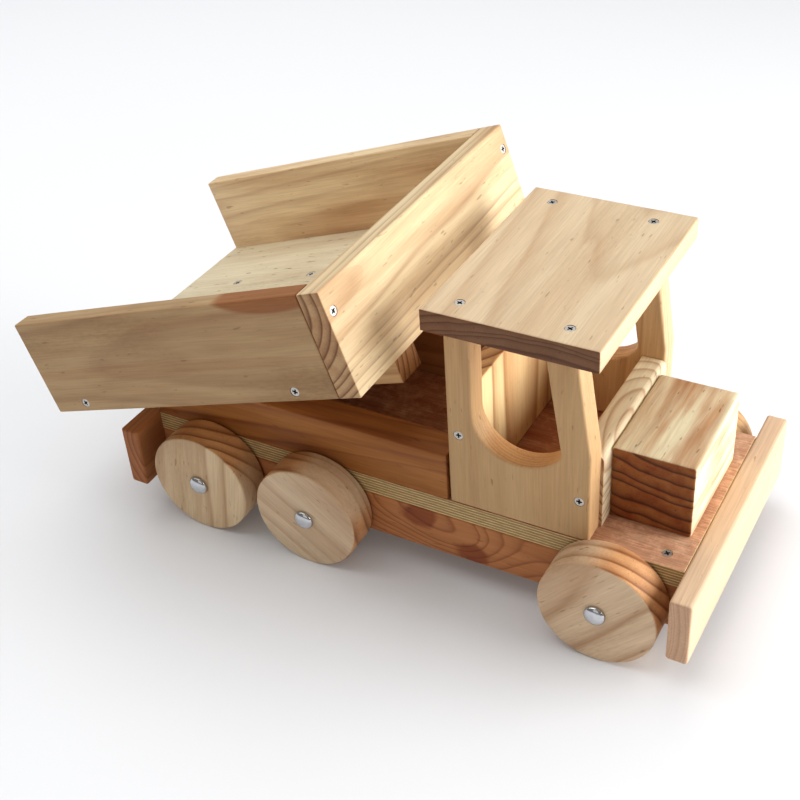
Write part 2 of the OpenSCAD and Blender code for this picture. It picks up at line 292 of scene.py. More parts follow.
def arc(centre, radius, start, stop, count):
    """Points of an arc, from one angle to another in degrees."""
    turns = [math.radians(start + (stop - start) * i / count) for i in range(count + 1)]
    return [(centre[0] + radius * math.cos(t), centre[1] + radius * math.sin(t)) for t in turns]


def finish_piece(shape, name, axes, body, nodes, material):
    """Turns a bmesh into a finished piece that rides on its body and stands for its nodes."""
    for e in shape.edges:
        e.smooth = e.calc_face_angle(0) < SHARP_BOARD
    for f in shape.faces:
        f.smooth = True
    mesh = bpy.data.meshes.new(name)
    shape.to_mesh(mesh)
    shape.free()
    mesh.transform(axes)
    mesh.materials.append(material)
    piece = bpy.data.objects.new(name, mesh)
    bpy.context.scene.collection.objects.link(piece)
    declare(piece, body, nodes)
    return piece


def declare(piece, body, nodes):
    """Says which body the piece rides on, which nodes it stands for."""
    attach(piece, body)
    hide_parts(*nodes)


def drill(piece, holes):
    """Cuts holes into a piece. Each hole is (mouth, direction in, [(depth, radius), ...])."""
    tool = bmesh.new()
    for mouth, inward, steps in holes:
        turn = Vector((0, 0, 1)).rotation_difference(Vector(inward)).to_matrix()
        rings = []
        for depth, radius in steps:
            ring = []
            for i in range(DRILL_SIDES):
                t = 2 * math.pi * i / DRILL_SIDES
                p = Vector((radius * math.cos(t), radius * math.sin(t), depth))
                ring.append(tool.verts.new(Vector(mouth) + turn @ p))
            rings.append(ring)
        tool.faces.new(rings[0])
        tool.faces.new(rings[-1])
        for a, b in zip(rings, rings[1:]):
            for i in range(DRILL_SIDES):
                j = (i + 1) % DRILL_SIDES
                tool.faces.new((a[i], a[j], b[j], b[i]))
    bmesh.ops.recalc_face_normals(tool, faces=tool.faces)
    mesh = bpy.data.meshes.new("drill")
    tool.to_mesh(mesh)
    tool.free()
    cutter = bpy.data.objects.new("drill", mesh)
    bpy.context.scene.collection.objects.link(cutter)
    cut = piece.modifiers.new("Drill", "BOOLEAN")
    cut.operation = "DIFFERENCE"
    cut.solver = "EXACT"
    cut.object = cutter
    bpy.context.view_layer.update()
    drilled = plain_mesh(piece)
    piece.modifiers.remove(cut)
    swap_mesh(piece, drilled)
    bpy.data.objects.remove(cutter)
    for f in piece.data.polygons:
        f.use_smooth = True
    edges = bmesh.new()
    edges.from_mesh(piece.data)
    for e in edges.edges:
        e.smooth = e.calc_face_angle(0) < SHARP_DRILLED
    edges.to_mesh(piece.data)
    edges.free()


def cross_hole(axes, x, z, near, far, radius):
    """A plain hole along Y, through wood from Y near to Y far, as drill() wants it."""
    mouth = axes @ Vector((x, near - DRILL_OUT, z))
    return mouth, (0, 1, 0), [(0, radius), (far - near + 2 * DRILL_OUT, radius)]


def plain_mesh(piece):
    """The piece's mesh with its modifiers worked in."""
    seen = piece.evaluated_get(bpy.context.evaluated_depsgraph_get())
    return bpy.data.meshes.new_from_object(seen)


def swap_mesh(piece, mesh):
    """Gives the piece a new mesh under the old one's name."""
    old = piece.data
    name = old.name
    piece.data = mesh
    bpy.data.meshes.remove(old)
    mesh.name = name


# ---- Finishes ----

def frame_nodes(tree, label, left, top):
    """Groups the nodes that are in no frame yet under one label, in columns."""
    apart = ("NodeFrame", "NodeGroupInput", "NodeGroupOutput")
    loose = [n for n in tree.nodes if n.parent is None and n.bl_idname not in apart]
    group = tree.nodes.new("NodeFrame")
    group.label = label
    wide, tall, down = 200, 190, 5
    for i, node in enumerate(loose):
        node.parent = group
        node.location = (left + wide * (i // down), top - tall * (i % down))


def bare_material(name):
    """A material with an empty node tree."""
    material = bpy.data.materials.new(name)
    material.use_nodes = True
    material.node_tree.nodes.clear()
    return material


def pine_finish(name, seat, half, look):
    """Solid pine: growth rings about a pith, bent by noise and knots, with fibres and end grain."""
    material = bare_material(name)
    tree = material.node_tree
    nodes = tree.nodes
    links = tree.links

    # Where on the board
    place = nodes.new("ShaderNodeTexCoord")
    place.label = "Place on the truck"
    board = nodes.new("ShaderNodeMapping")
    board.label = "The board's own axes, grain along X"
    facing = nodes.new("ShaderNodeMapping")
    facing.label = "Which way the surface faces on the board"
    faced = nodes.new("ShaderNodeSeparateXYZ")
    faced.label = "Facing along the grain"
    end_on = nodes.new("ShaderNodeMath")
    end_on.label = "Either end"
    ends = nodes.new("ShaderNodeMapRange")
    ends.label = "End grain"
    board.vector_type = "TEXTURE"
    board.inputs["Location"].default_value = seat.to_translation()
    board.inputs["Rotation"].default_value = seat.to_euler()
    facing.vector_type = "TEXTURE"
    facing.inputs["Rotation"].default_value = seat.to_euler()
    end_on.operation = "ABSOLUTE"
    ends.interpolation_type = "SMOOTHSTEP"
    ends.inputs["From Min"].default_value = 0.45
    ends.inputs["From Max"].default_value = 0.85
    links.new(place.outputs["Object"], board.inputs["Vector"])
    links.new(place.outputs["Normal"], facing.inputs["Vector"])
    links.new(facing.outputs[0], faced.inputs["Vector"])
    links.new(faced.outputs["X"], end_on.inputs[0])
    links.new(end_on.outputs[0], ends.inputs["Value"])
    frame_nodes(tree, "Where on the board", -3200, 600)

    # Growth rings
    long_way = nodes.new("ShaderNodeMapping")
    long_way.label = "Bends run long along the grain"
    bends = nodes.new("ShaderNodeTexNoise")
    bends.label = "Bends of the trunk"
    bends_mid = nodes.new("ShaderNodeVectorMath")
    bends_mid.label = "Either way"
    bend_by = nodes.new("ShaderNodeVectorMath")
    bend_by.label = "Size of the bends"
    bent = nodes.new("ShaderNodeVectorMath")
    bent.label = "The bent trunk"
    pith = nodes.new("ShaderNodeMapping")
    pith.label = "Where the pith runs"
    across = nodes.new("ShaderNodeVectorMath")
    across.label = "Across the grain only"
    from_pith = nodes.new("ShaderNodeVectorMath")
    from_pith.label = "Distance from the pith"
    years = nodes.new("ShaderNodeTexNoise")
    years.label = "Wide and narrow years"
    uneven = nodes.new("ShaderNodeMath")
    uneven.label = "Years of uneven width"
    count = nodes.new("ShaderNodeMath")
    count.label = "Count of years"
    year = nodes.new("ShaderNodeMath")
    year.label = "Time of the year"
    late = nodes.new("ShaderNodeValToRGB")
    late.label = "Late wood darkens, then stops short"
    long_way.inputs["Scale"].default_value = (look["bend_along"], 1, 1)
    long_way.inputs["Location"].default_value = (look["seed"], look["seed"] * 0.37, 0)
    bends.inputs["Scale"].default_value = look["bend_scale"]
    bends.inputs["Detail"].default_value = 2.5
    bends.inputs["Roughness"].default_value = 0.5
    bends_mid.operation = "SUBTRACT"
    bends_mid.inputs[1].default_value = (0.5, 0.5, 0.5)
    bend_by.operation = "SCALE"
    bend_by.inputs["Scale"].default_value = look["bend"]
    pith.vector_type = "TEXTURE"
    pith.inputs["Location"].default_value = (0, look["pith"][0], look["pith"][1])
    pith.inputs["Rotation"].default_value = (0, look["lean"][0], look["lean"][1])
    across.operation = "MULTIPLY"
    across.inputs[1].default_value = (0, 1, 1)
    from_pith.operation = "LENGTH"
    years.noise_dimensions = "1D"
    years.inputs["Scale"].default_value = 0.35 / look["gap"]
    years.inputs["Detail"].default_value = 1
    uneven.operation = "MULTIPLY_ADD"
    uneven.inputs[1].default_value = look["gap"] * 2.4
    count.operation = "DIVIDE"
    count.inputs[1].default_value = look["gap"]
    year.operation = "FRACT"
    ramp = late.color_ramp
    ramp.elements[0].position = 0.0
    ramp.elements[0].color = (0.35, 0.35, 0.35, 1)
    ramp.elements[1].position = 1.0
    ramp.elements[1].color = (0.55, 0.55, 0.55, 1)
    for position, dark in ((0.09, 0.0), (0.45, 0.08), (0.74, 0.4), (0.92, 1.0)):
        ramp.elements.new(position).color = (dark, dark, dark, 1)
    links.new(board.outputs[0], long_way.inputs["Vector"])
    links.new(long_way.outputs[0], bends.inputs["Vector"])
    links.new(bends.outputs["Color"], bends_mid.inputs[0])
    links.new(bends_mid.outputs[0], bend_by.inputs[0])
    links.new(board.outputs[0], bent.inputs[0])
    links.new(bend_by.outputs[0], bent.inputs[1])
    links.new(bent.outputs[0], pith.inputs["Vector"])
    links.new(pith.outputs[0], across.inputs[0])
    links.new(across.outputs[0], from_pith.inputs[0])
    frame_nodes(tree, "Growth rings", -2700, 600)

    # Knots push the rings aside
    pushed = from_pith.outputs["Value"]
    knot_dark = None
    for number, (along, over, radius, push) in enumerate(look["knots"]):
        knot = nodes.new("ShaderNodeMapping")
        knot.label = "A knot's middle"
        knot_flat = nodes.new("ShaderNodeVectorMath")
        knot_flat.label = "Through the board"
        knot_far = nodes.new("ShaderNodeVectorMath")
        knot_far.label = "Distance from the knot"
        knot_rough = nodes.new("ShaderNodeTexNoise")
        knot_rough.label = "Ragged outline"
        knot_edge = nodes.new("ShaderNodeMath")
        knot_edge.label = "Distance to the ragged outline"
        knot_pull = nodes.new("ShaderNodeMapRange")
        knot_pull.label = "Grain flows round the knot"
        knot_add = nodes.new("ShaderNodeMath")
        knot_add.label = "Push on the rings"
        knot_spot = nodes.new("ShaderNodeMapRange")
        knot_spot.label = "The dark knot"
        knot.vector_type = "TEXTURE"
        knot.inputs["Location"].default_value = (along, over, 0)
        knot.inputs["Scale"].default_value = (1.45, 1, 1)
        knot_flat.operation = "MULTIPLY"
        knot_flat.inputs[1].default_value = (1, 1, 0.15)
        knot_far.operation = "LENGTH"
        knot_rough.inputs["Scale"].default_value = 0.55 / radius
        knot_rough.inputs["Detail"].default_value = 3
        knot_edge.operation = "MULTIPLY_ADD"
        knot_edge.inputs[1].default_value = radius * 1.6
        knot_pull.interpolation_type = "SMOOTHSTEP"
        knot_pull.inputs["From Min"].default_value = radius * 4.5
        knot_pull.inputs["From Max"].default_value = 0
        knot_add.operation = "MULTIPLY_ADD"
        knot_add.inputs[1].default_value = push
        knot_spot.interpolation_type = "SMOOTHSTEP"
        knot_spot.inputs["From Min"].default_value = radius * 2.0
        knot_spot.inputs["From Max"].default_value = radius * 1.45
        links.new(bent.outputs[0], knot.inputs["Vector"])
        links.new(knot.outputs[0], knot_flat.inputs[0])
        links.new(knot_flat.outputs[0], knot_far.inputs[0])
        links.new(knot_far.outputs["Value"], knot_pull.inputs["Value"])
        links.new(knot_pull.outputs[0], knot_add.inputs[0])
        links.new(pushed, knot_add.inputs[2])
        links.new(bent.outputs[0], knot_rough.inputs["Vector"])
        links.new(knot_rough.outputs[0], knot_edge.inputs[0])
        links.new(knot_far.outputs["Value"], knot_edge.inputs[2])
        links.new(knot_edge.outputs[0], knot_spot.inputs["Value"])
        pushed = knot_add.outputs[0]
        if knot_dark is None:
            knot_dark = knot_spot.outputs[0]
        else:
            both = nodes.new("ShaderNodeMath")
            both.label = "All knots"
            both.operation = "MAXIMUM"
            links.new(knot_dark, both.inputs[0])
            links.new(knot_spot.outputs[0], both.inputs[1])
            knot_dark = both.outputs[0]
        frame_nodes(tree, "Knot %d" % (number + 1), -2700 + 520 * number, -600)
    links.new(pushed, years.inputs["W"])
    links.new(years.outputs[0], uneven.inputs[0])
    links.new(pushed, uneven.inputs[2])
    links.new(uneven.outputs[0], count.inputs[0])
    links.new(count.outputs[0], year.inputs[0])
    links.new(year.outputs[0], late.inputs["Fac"])

    # Fibres, streaks and patches
    fibre_way = nodes.new("ShaderNodeMapping")
    fibre_way.label = "Fibres run along the grain"
    fibres = nodes.new("ShaderNodeTexNoise")
    fibres.label = "Fine fibres"
    streak_way = nodes.new("ShaderNodeMapping")
    streak_way.label = "Streaks run along the grain"
    streaks = nodes.new("ShaderNodeTexNoise")
    streaks.label = "Colour streaks"
    streaky = nodes.new("ShaderNodeMapRange")
    streaky.label = "How much they show"
    patches = nodes.new("ShaderNodeTexNoise")
    patches.label = "Patches of warmer wood"
    patchy = nodes.new("ShaderNodeMapRange")
    patchy.label = "How much patches show"
    fibre_way.inputs["Scale"].default_value = (0.03, 1, 1)
    fibre_way.inputs["Location"].default_value = (0, 0, look["seed"])
    fibres.inputs["Scale"].default_value = 720
    fibres.inputs["Detail"].default_value = 3
    fibres.inputs["Roughness"].default_value = 0.6
    streak_way.inputs["Scale"].default_value = (0.09, 1, 1)
    streak_way.inputs["Location"].default_value = (look["seed"] * 0.11, look["seed"], 0)
    streaks.inputs["Scale"].default_value = look["streak_scale"]
    streaks.inputs["Detail"].default_value = 4
    streaks.inputs["Roughness"].default_value = 0.55
    streaky.inputs["From Min"].default_value = 0.42
    streaky.inputs["From Max"].default_value = 0.75
    streaky.inputs["To Max"].default_value = look["streak"]
    patches.inputs["Scale"].default_value = look["patch_scale"]
    patches.inputs["Detail"].default_value = 2
    patchy.inputs["From Min"].default_value = 0.48
    patchy.inputs["From Max"].default_value = 0.72
    patchy.inputs["To Max"].default_value = look["patch"]
    links.new(bent.outputs[0], fibre_way.inputs["Vector"])
    links.new(fibre_way.outputs[0], fibres.inputs["Vector"])
    links.new(bent.outputs[0], streak_way.inputs["Vector"])
    links.new(streak_way.outputs[0], streaks.inputs["Vector"])
    links.new(streaks.outputs[0], streaky.inputs["Value"])
    links.new(long_way.outputs[0], patches.inputs["Vector"])
    links.new(patches.outputs[0], patchy.inputs["Value"])
    frame_nodes(tree, "Fibres, streaks and patches", -1900, -600)

    # Stains and flecks
    stains = nodes.new("ShaderNodeTexNoise")
    stains.label = "Where damp has greyed the wood"
    grey_area = nodes.new("ShaderNodeMapRange")
    grey_area.label = "Edge of the greyed wood"
    mottle_way = nodes.new("ShaderNodeMapping")
    mottle_way.label = "Mottling runs a little along the grain"
    mottle = nodes.new("ShaderNodeTexNoise")
    mottle.label = "Fine mottling"
    mottled = nodes.new("ShaderNodeMapRange")
    mottled.label = "Mottled inside the greyed wood"
    greyed = nodes.new("ShaderNodeMath")
    greyed.label = "How grey the wood is"
    fleck_way = nodes.new("ShaderNodeMapping")
    fleck_way.label = "Flecks run along the grain"
    flecks = nodes.new("ShaderNodeTexNoise")
    flecks.label = "Resin flecks and pits"
    flecky = nodes.new("ShaderNodeMapRange")
    flecky.label = "Only the strongest show"
    stains.inputs["Scale"].default_value = 14
    stains.inputs["Detail"].default_value = 3
    grey_area.interpolation_type = "SMOOTHSTEP"
    grey_area.inputs["From Min"].default_value = 0.46
    grey_area.inputs["From Max"].default_value = 0.66
    mottle_way.inputs["Scale"].default_value = (0.3, 1, 1)
    mottle_way.inputs["Location"].default_value = (look["seed"], 0, 0)
    mottle.inputs["Scale"].default_value = 420
    mottle.inputs["Detail"].default_value = 4
    mottle.inputs["Roughness"].default_value = 0.7
    mottled.inputs["From Min"].default_value = 0.35
    mottled.inputs["From Max"].default_value = 0.65
    mottled.inputs["To Min"].default_value = look["stain"] * 0.35
    mottled.inputs["To Max"].default_value = look["stain"]
    greyed.operation = "MULTIPLY"
    fleck_way.inputs["Scale"].default_value = (0.22, 1, 1)
    fleck_way.inputs["Location"].default_value = (0, look["seed"], 0)
    flecks.inputs["Scale"].default_value = 330
    flecks.inputs["Detail"].default_value = 1
    flecky.inputs["From Min"].default_value = 0.7
    flecky.inputs["From Max"].default_value = 0.78
    flecky.inputs["To Max"].default_value = look["flecks"]
    links.new(long_way.outputs[0], stains.inputs["Vector"])
    links.new(stains.outputs[0], grey_area.inputs["Value"])
    links.new(board.outputs[0], mottle_way.inputs["Vector"])
    links.new(mottle_way.outputs[0], mottle.inputs["Vector"])
    links.new(mottle.outputs[0], mottled.inputs["Value"])
    links.new(grey_area.outputs[0], greyed.inputs[0])
    links.new(mottled.outputs[0], greyed.inputs[1])
    links.new(board.outputs[0], fleck_way.inputs["Vector"])
    links.new(fleck_way.outputs[0], flecks.inputs["Vector"])
    links.new(flecks.outputs[0], flecky.inputs["Value"])
    frame_nodes(tree, "Stains and flecks", -1900, -1700)

    # Patches of heart wood at their own places
    warm = patchy.outputs[0]
    for number, (along, over, long, wide, strength) in enumerate(look["heart_patches"]):
        spot = nodes.new("ShaderNodeMapping")
        spot.label = "Middle of the patch"
        spot_flat = nodes.new("ShaderNodeVectorMath")
        spot_flat.label = "Through the board"
        spot_far = nodes.new("ShaderNodeVectorMath")
        spot_far.label = "Distance in the patch"
        spot_edge = nodes.new("ShaderNodeMapRange")
        spot_edge.label = "Edge of the patch"
        warmest = nodes.new("ShaderNodeMath")
        warmest.label = "Warmer of the two"
        spot.vector_type = "TEXTURE"
        spot.inputs["Location"].default_value = (along, over, 0)
        spot.inputs["Scale"].default_value = (long, wide, 1)
        spot_flat.operation = "MULTIPLY"
        spot_flat.inputs[1].default_value = (1, 1, 0)
        spot_far.operation = "LENGTH"
        spot_edge.interpolation_type = "SMOOTHSTEP"
        spot_edge.inputs["From Min"].default_value = 1.05
        spot_edge.inputs["From Max"].default_value = 0.85
        spot_edge.inputs["To Max"].default_value = strength
        warmest.operation = "MAXIMUM"
        links.new(bent.outputs[0], spot.inputs["Vector"])
        links.new(spot.outputs[0], spot_flat.inputs[0])
        links.new(spot_flat.outputs[0], spot_far.inputs[0])
        links.new(spot_far.outputs["Value"], spot_edge.inputs["Value"])
        links.new(warm, warmest.inputs[0])
        links.new(spot_edge.outputs[0], warmest.inputs[1])
        warm = warmest.outputs[0]
        frame_nodes(tree, "Heart wood %d" % (number + 1), -2700 + 260 * number, -1700)

    # Colour
    ring_dark = nodes.new("ShaderNodeMath")
    ring_dark.label = "How dark the rings are"
    ringed = nodes.new("ShaderNodeMix")
    ringed.label = "Early and late wood"
    patched = nodes.new("ShaderNodeMix")
    patched.label = "Warmer patches"
    streaked = nodes.new("ShaderNodeMix")
    streaked.label = "Darker streaks"
    fibre_tone = nodes.new("ShaderNodeMapRange")
    fibre_tone.label = "Light and dark fibres"
    fibred = nodes.new("ShaderNodeMix")
    fibred.label = "Fibres on the colour"
    end_shade = nodes.new("ShaderNodeMath")
    end_shade.label = "How far the ends darken, from oil and painted shade"
    ended = nodes.new("ShaderNodeMix")
    ended.label = "Darker end grain"
    ring_dark.operation = "MULTIPLY"
    ring_dark.inputs[1].default_value = look["ring_strength"]
    ringed.data_type = "RGBA"
    ringed.inputs[6].default_value = (*look["early"], 1)
    ringed.inputs[7].default_value = (*look["late"], 1)
    patched.data_type = "RGBA"
    patched.inputs[7].default_value = (*look["heart"], 1)
    streaked.data_type = "RGBA"
    streaked.blend_type = "MULTIPLY"
    streaked.inputs[7].default_value = (*look["streak_tint"], 1)
    fibre_tone.inputs["From Min"].default_value = 0.3
    fibre_tone.inputs["From Max"].default_value = 0.7
    fibre_tone.inputs["To Min"].default_value = 1 - look["fibre"]
    fibre_tone.inputs["To Max"].default_value = 1 + look["fibre"] * 0.6
    fibred.data_type = "RGBA"
    fibred.blend_type = "MULTIPLY"
    fibred.inputs[0].default_value = 1.0
    end_shade.operation = "MULTIPLY"
    end_shade.inputs[1].default_value = look["end"]
    ended.data_type = "RGBA"
    ended.blend_type = "MULTIPLY"
    ended.inputs[7].default_value = (*look["end_tint"], 1)
    links.new(late.outputs["Color"], ring_dark.inputs[0])
    links.new(ring_dark.outputs[0], ringed.inputs[0])
    links.new(warm, patched.inputs[0])
    links.new(ringed.outputs[2], patched.inputs[6])
    links.new(streaky.outputs[0], streaked.inputs[0])
    links.new(patched.outputs[2], streaked.inputs[6])
    links.new(fibres.outputs[0], fibre_tone.inputs["Value"])
    links.new(streaked.outputs[2], fibred.inputs[6])
    links.new(fibre_tone.outputs[0], fibred.inputs[7])
    links.new(ends.outputs[0], end_shade.inputs[0])
    links.new(end_shade.outputs[0], ended.inputs[0])
    links.new(fibred.outputs[2], ended.inputs[6])
    end_rings = nodes.new("ShaderNodeMath")
    end_rings.label = "Rings on the ends"
    end_dark = nodes.new("ShaderNodeMath")
    end_dark.label = "How dark they are"
    end_ringed = nodes.new("ShaderNodeMix")
    end_ringed.label = "Dark rings on the ends"
    stained = nodes.new("ShaderNodeMix")
    stained.label = "Greyed wood"
    flecked = nodes.new("ShaderNodeMix")
    flecked.label = "Flecks on the colour"
    end_rings.operation = "MULTIPLY"
    end_dark.operation = "MULTIPLY"
    end_dark.inputs[1].default_value = look["end_ring"]
    end_ringed.data_type = "RGBA"
    end_ringed.blend_type = "MULTIPLY"
    end_ringed.inputs[7].default_value = (*look["end_ring_tint"], 1)
    stained.data_type = "RGBA"
    stained.blend_type = "MULTIPLY"
    stained.inputs[7].default_value = (*look["stain_tint"], 1)
    flecked.data_type = "RGBA"
    flecked.blend_type = "MULTIPLY"
    flecked.inputs[7].default_value = (0.4, 0.27, 0.18, 1)
    links.new(late.outputs["Color"], end_rings.inputs[0])
    links.new(ends.outputs[0], end_rings.inputs[1])
    links.new(end_rings.outputs[0], end_dark.inputs[0])
    links.new(end_dark.outputs[0], end_ringed.inputs[0])
    links.new(ended.outputs[2], end_ringed.inputs[6])
    links.new(greyed.outputs[0], stained.inputs[0])
    links.new(end_ringed.outputs[2], stained.inputs[6])
    links.new(flecky.outputs[0], flecked.inputs[0])
    links.new(stained.outputs[2], flecked.inputs[6])
    colour = flecked.outputs[2]
    if knot_dark is not None:
        knotted = nodes.new("ShaderNodeMix")
        knotted.label = "Dark knots"
        knotted.data_type = "RGBA"
        knotted.blend_type = "MULTIPLY"
        knotted.inputs[7].default_value = (*look["knot_tint"], 1)
        links.new(knot_dark, knotted.inputs[0])
        links.new(colour, knotted.inputs[6])
        colour = knotted.outputs[2]
    frame_nodes(tree, "Colour", -1100, 600)

    # Rubbed edges
    size = nodes.new("ShaderNodeVectorMath")
    size.label = "Either side of the middle"
    inside = nodes.new("ShaderNodeVectorMath")
    inside.label = "Depth below each face"
    depths = nodes.new("ShaderNodeSeparateXYZ")
    depths.label = "The three depths"
    less = nodes.new("ShaderNodeMath")
    less.label = "Smaller of two"
    more = nodes.new("ShaderNodeMath")
    more.label = "Larger of two"
    third = nodes.new("ShaderNodeMath")
    third.label = "Against the third"
    to_edge = nodes.new("ShaderNodeMath")
    to_edge.label = "Distance to the nearest edge"
    ragged = nodes.new("ShaderNodeMath")
    ragged.label = "Uneven rubbing"
    rubbed = nodes.new("ShaderNodeMapRange")
    rubbed.label = "Rubbed edge"
    edged = nodes.new("ShaderNodeMix")
    edged.label = "Edges handled and oiled"
    size.operation = "ABSOLUTE"
    inside.operation = "SUBTRACT"
    inside.inputs[0].default_value = half
    less.operation = "MINIMUM"
    more.operation = "MAXIMUM"
    third.operation = "MINIMUM"
    to_edge.operation = "MAXIMUM"
    ragged.operation = "MULTIPLY_ADD"
    ragged.inputs[1].default_value = 0.004
    rubbed.inputs["From Min"].default_value = 0.0042
    rubbed.inputs["From Max"].default_value = 0.0018
    rubbed.inputs["To Max"].default_value = look["edge"]
    edged.data_type = "RGBA"
    edged.blend_type = "MULTIPLY"
    edged.inputs[7].default_value = (*look["edge_tint"], 1)
    links.new(board.outputs[0], size.inputs[0])
    links.new(size.outputs[0], inside.inputs[1])
    links.new(inside.outputs[0], depths.inputs["Vector"])
    links.new(depths.outputs["X"], less.inputs[0])
    links.new(depths.outputs["Y"], less.inputs[1])
    links.new(depths.outputs["X"], more.inputs[0])
    links.new(depths.outputs["Y"], more.inputs[1])
    links.new(more.outputs[0], third.inputs[0])
    links.new(depths.outputs["Z"], third.inputs[1])
    links.new(less.outputs[0], to_edge.inputs[0])
    links.new(third.outputs[0], to_edge.inputs[1])
    links.new(streaks.outputs[0], ragged.inputs[0])
    links.new(to_edge.outputs[0], ragged.inputs[2])
    links.new(ragged.outputs[0], rubbed.inputs["Value"])
    links.new(rubbed.outputs[0], edged.inputs[0])
    links.new(colour, edged.inputs[6])
    frame_nodes(tree, "Rubbed edges", -1100, -600)

    # Surface
    relief = nodes.new("ShaderNodeMath")
    relief.label = "Late wood stands proud of the fibres"
    bump = nodes.new("ShaderNodeBump")
    bump.label = "Sanded grain"
    gloss = nodes.new("ShaderNodeMapRange")
    gloss.label = "Oil sits on the late wood"
    shader = nodes.new("ShaderNodeBsdfPrincipled")
    shader.label = "Oiled pine"
    out = nodes.new("ShaderNodeOutputMaterial")
    out.label = "Surface"
    relief.operation = "MULTIPLY_ADD"
    relief.inputs[1].default_value = 0.35
    bump.inputs["Strength"].default_value = 0.3
    bump.inputs["Distance"].default_value = 0.0003
    gloss.inputs["To Min"].default_value = 0.62
    gloss.inputs["To Max"].default_value = 0.46
    shader.inputs["Specular IOR Level"].default_value = 0.35
    links.new(late.outputs["Color"], relief.inputs[0])
    links.new(fibres.outputs[0], relief.inputs[2])
    links.new(relief.outputs[0], bump.inputs["Height"])
    links.new(late.outputs["Color"], gloss.inputs["Value"])
    links.new(edged.outputs[2], shader.inputs["Base Color"])
    links.new(gloss.outputs[0], shader.inputs["Roughness"])
    links.new(bump.outputs["Normal"], shader.inputs["Normal"])
    links.new(shader.outputs["BSDF"], out.inputs["Surface"])
    frame_nodes(tree, "Surface", -200, 600)
    return material


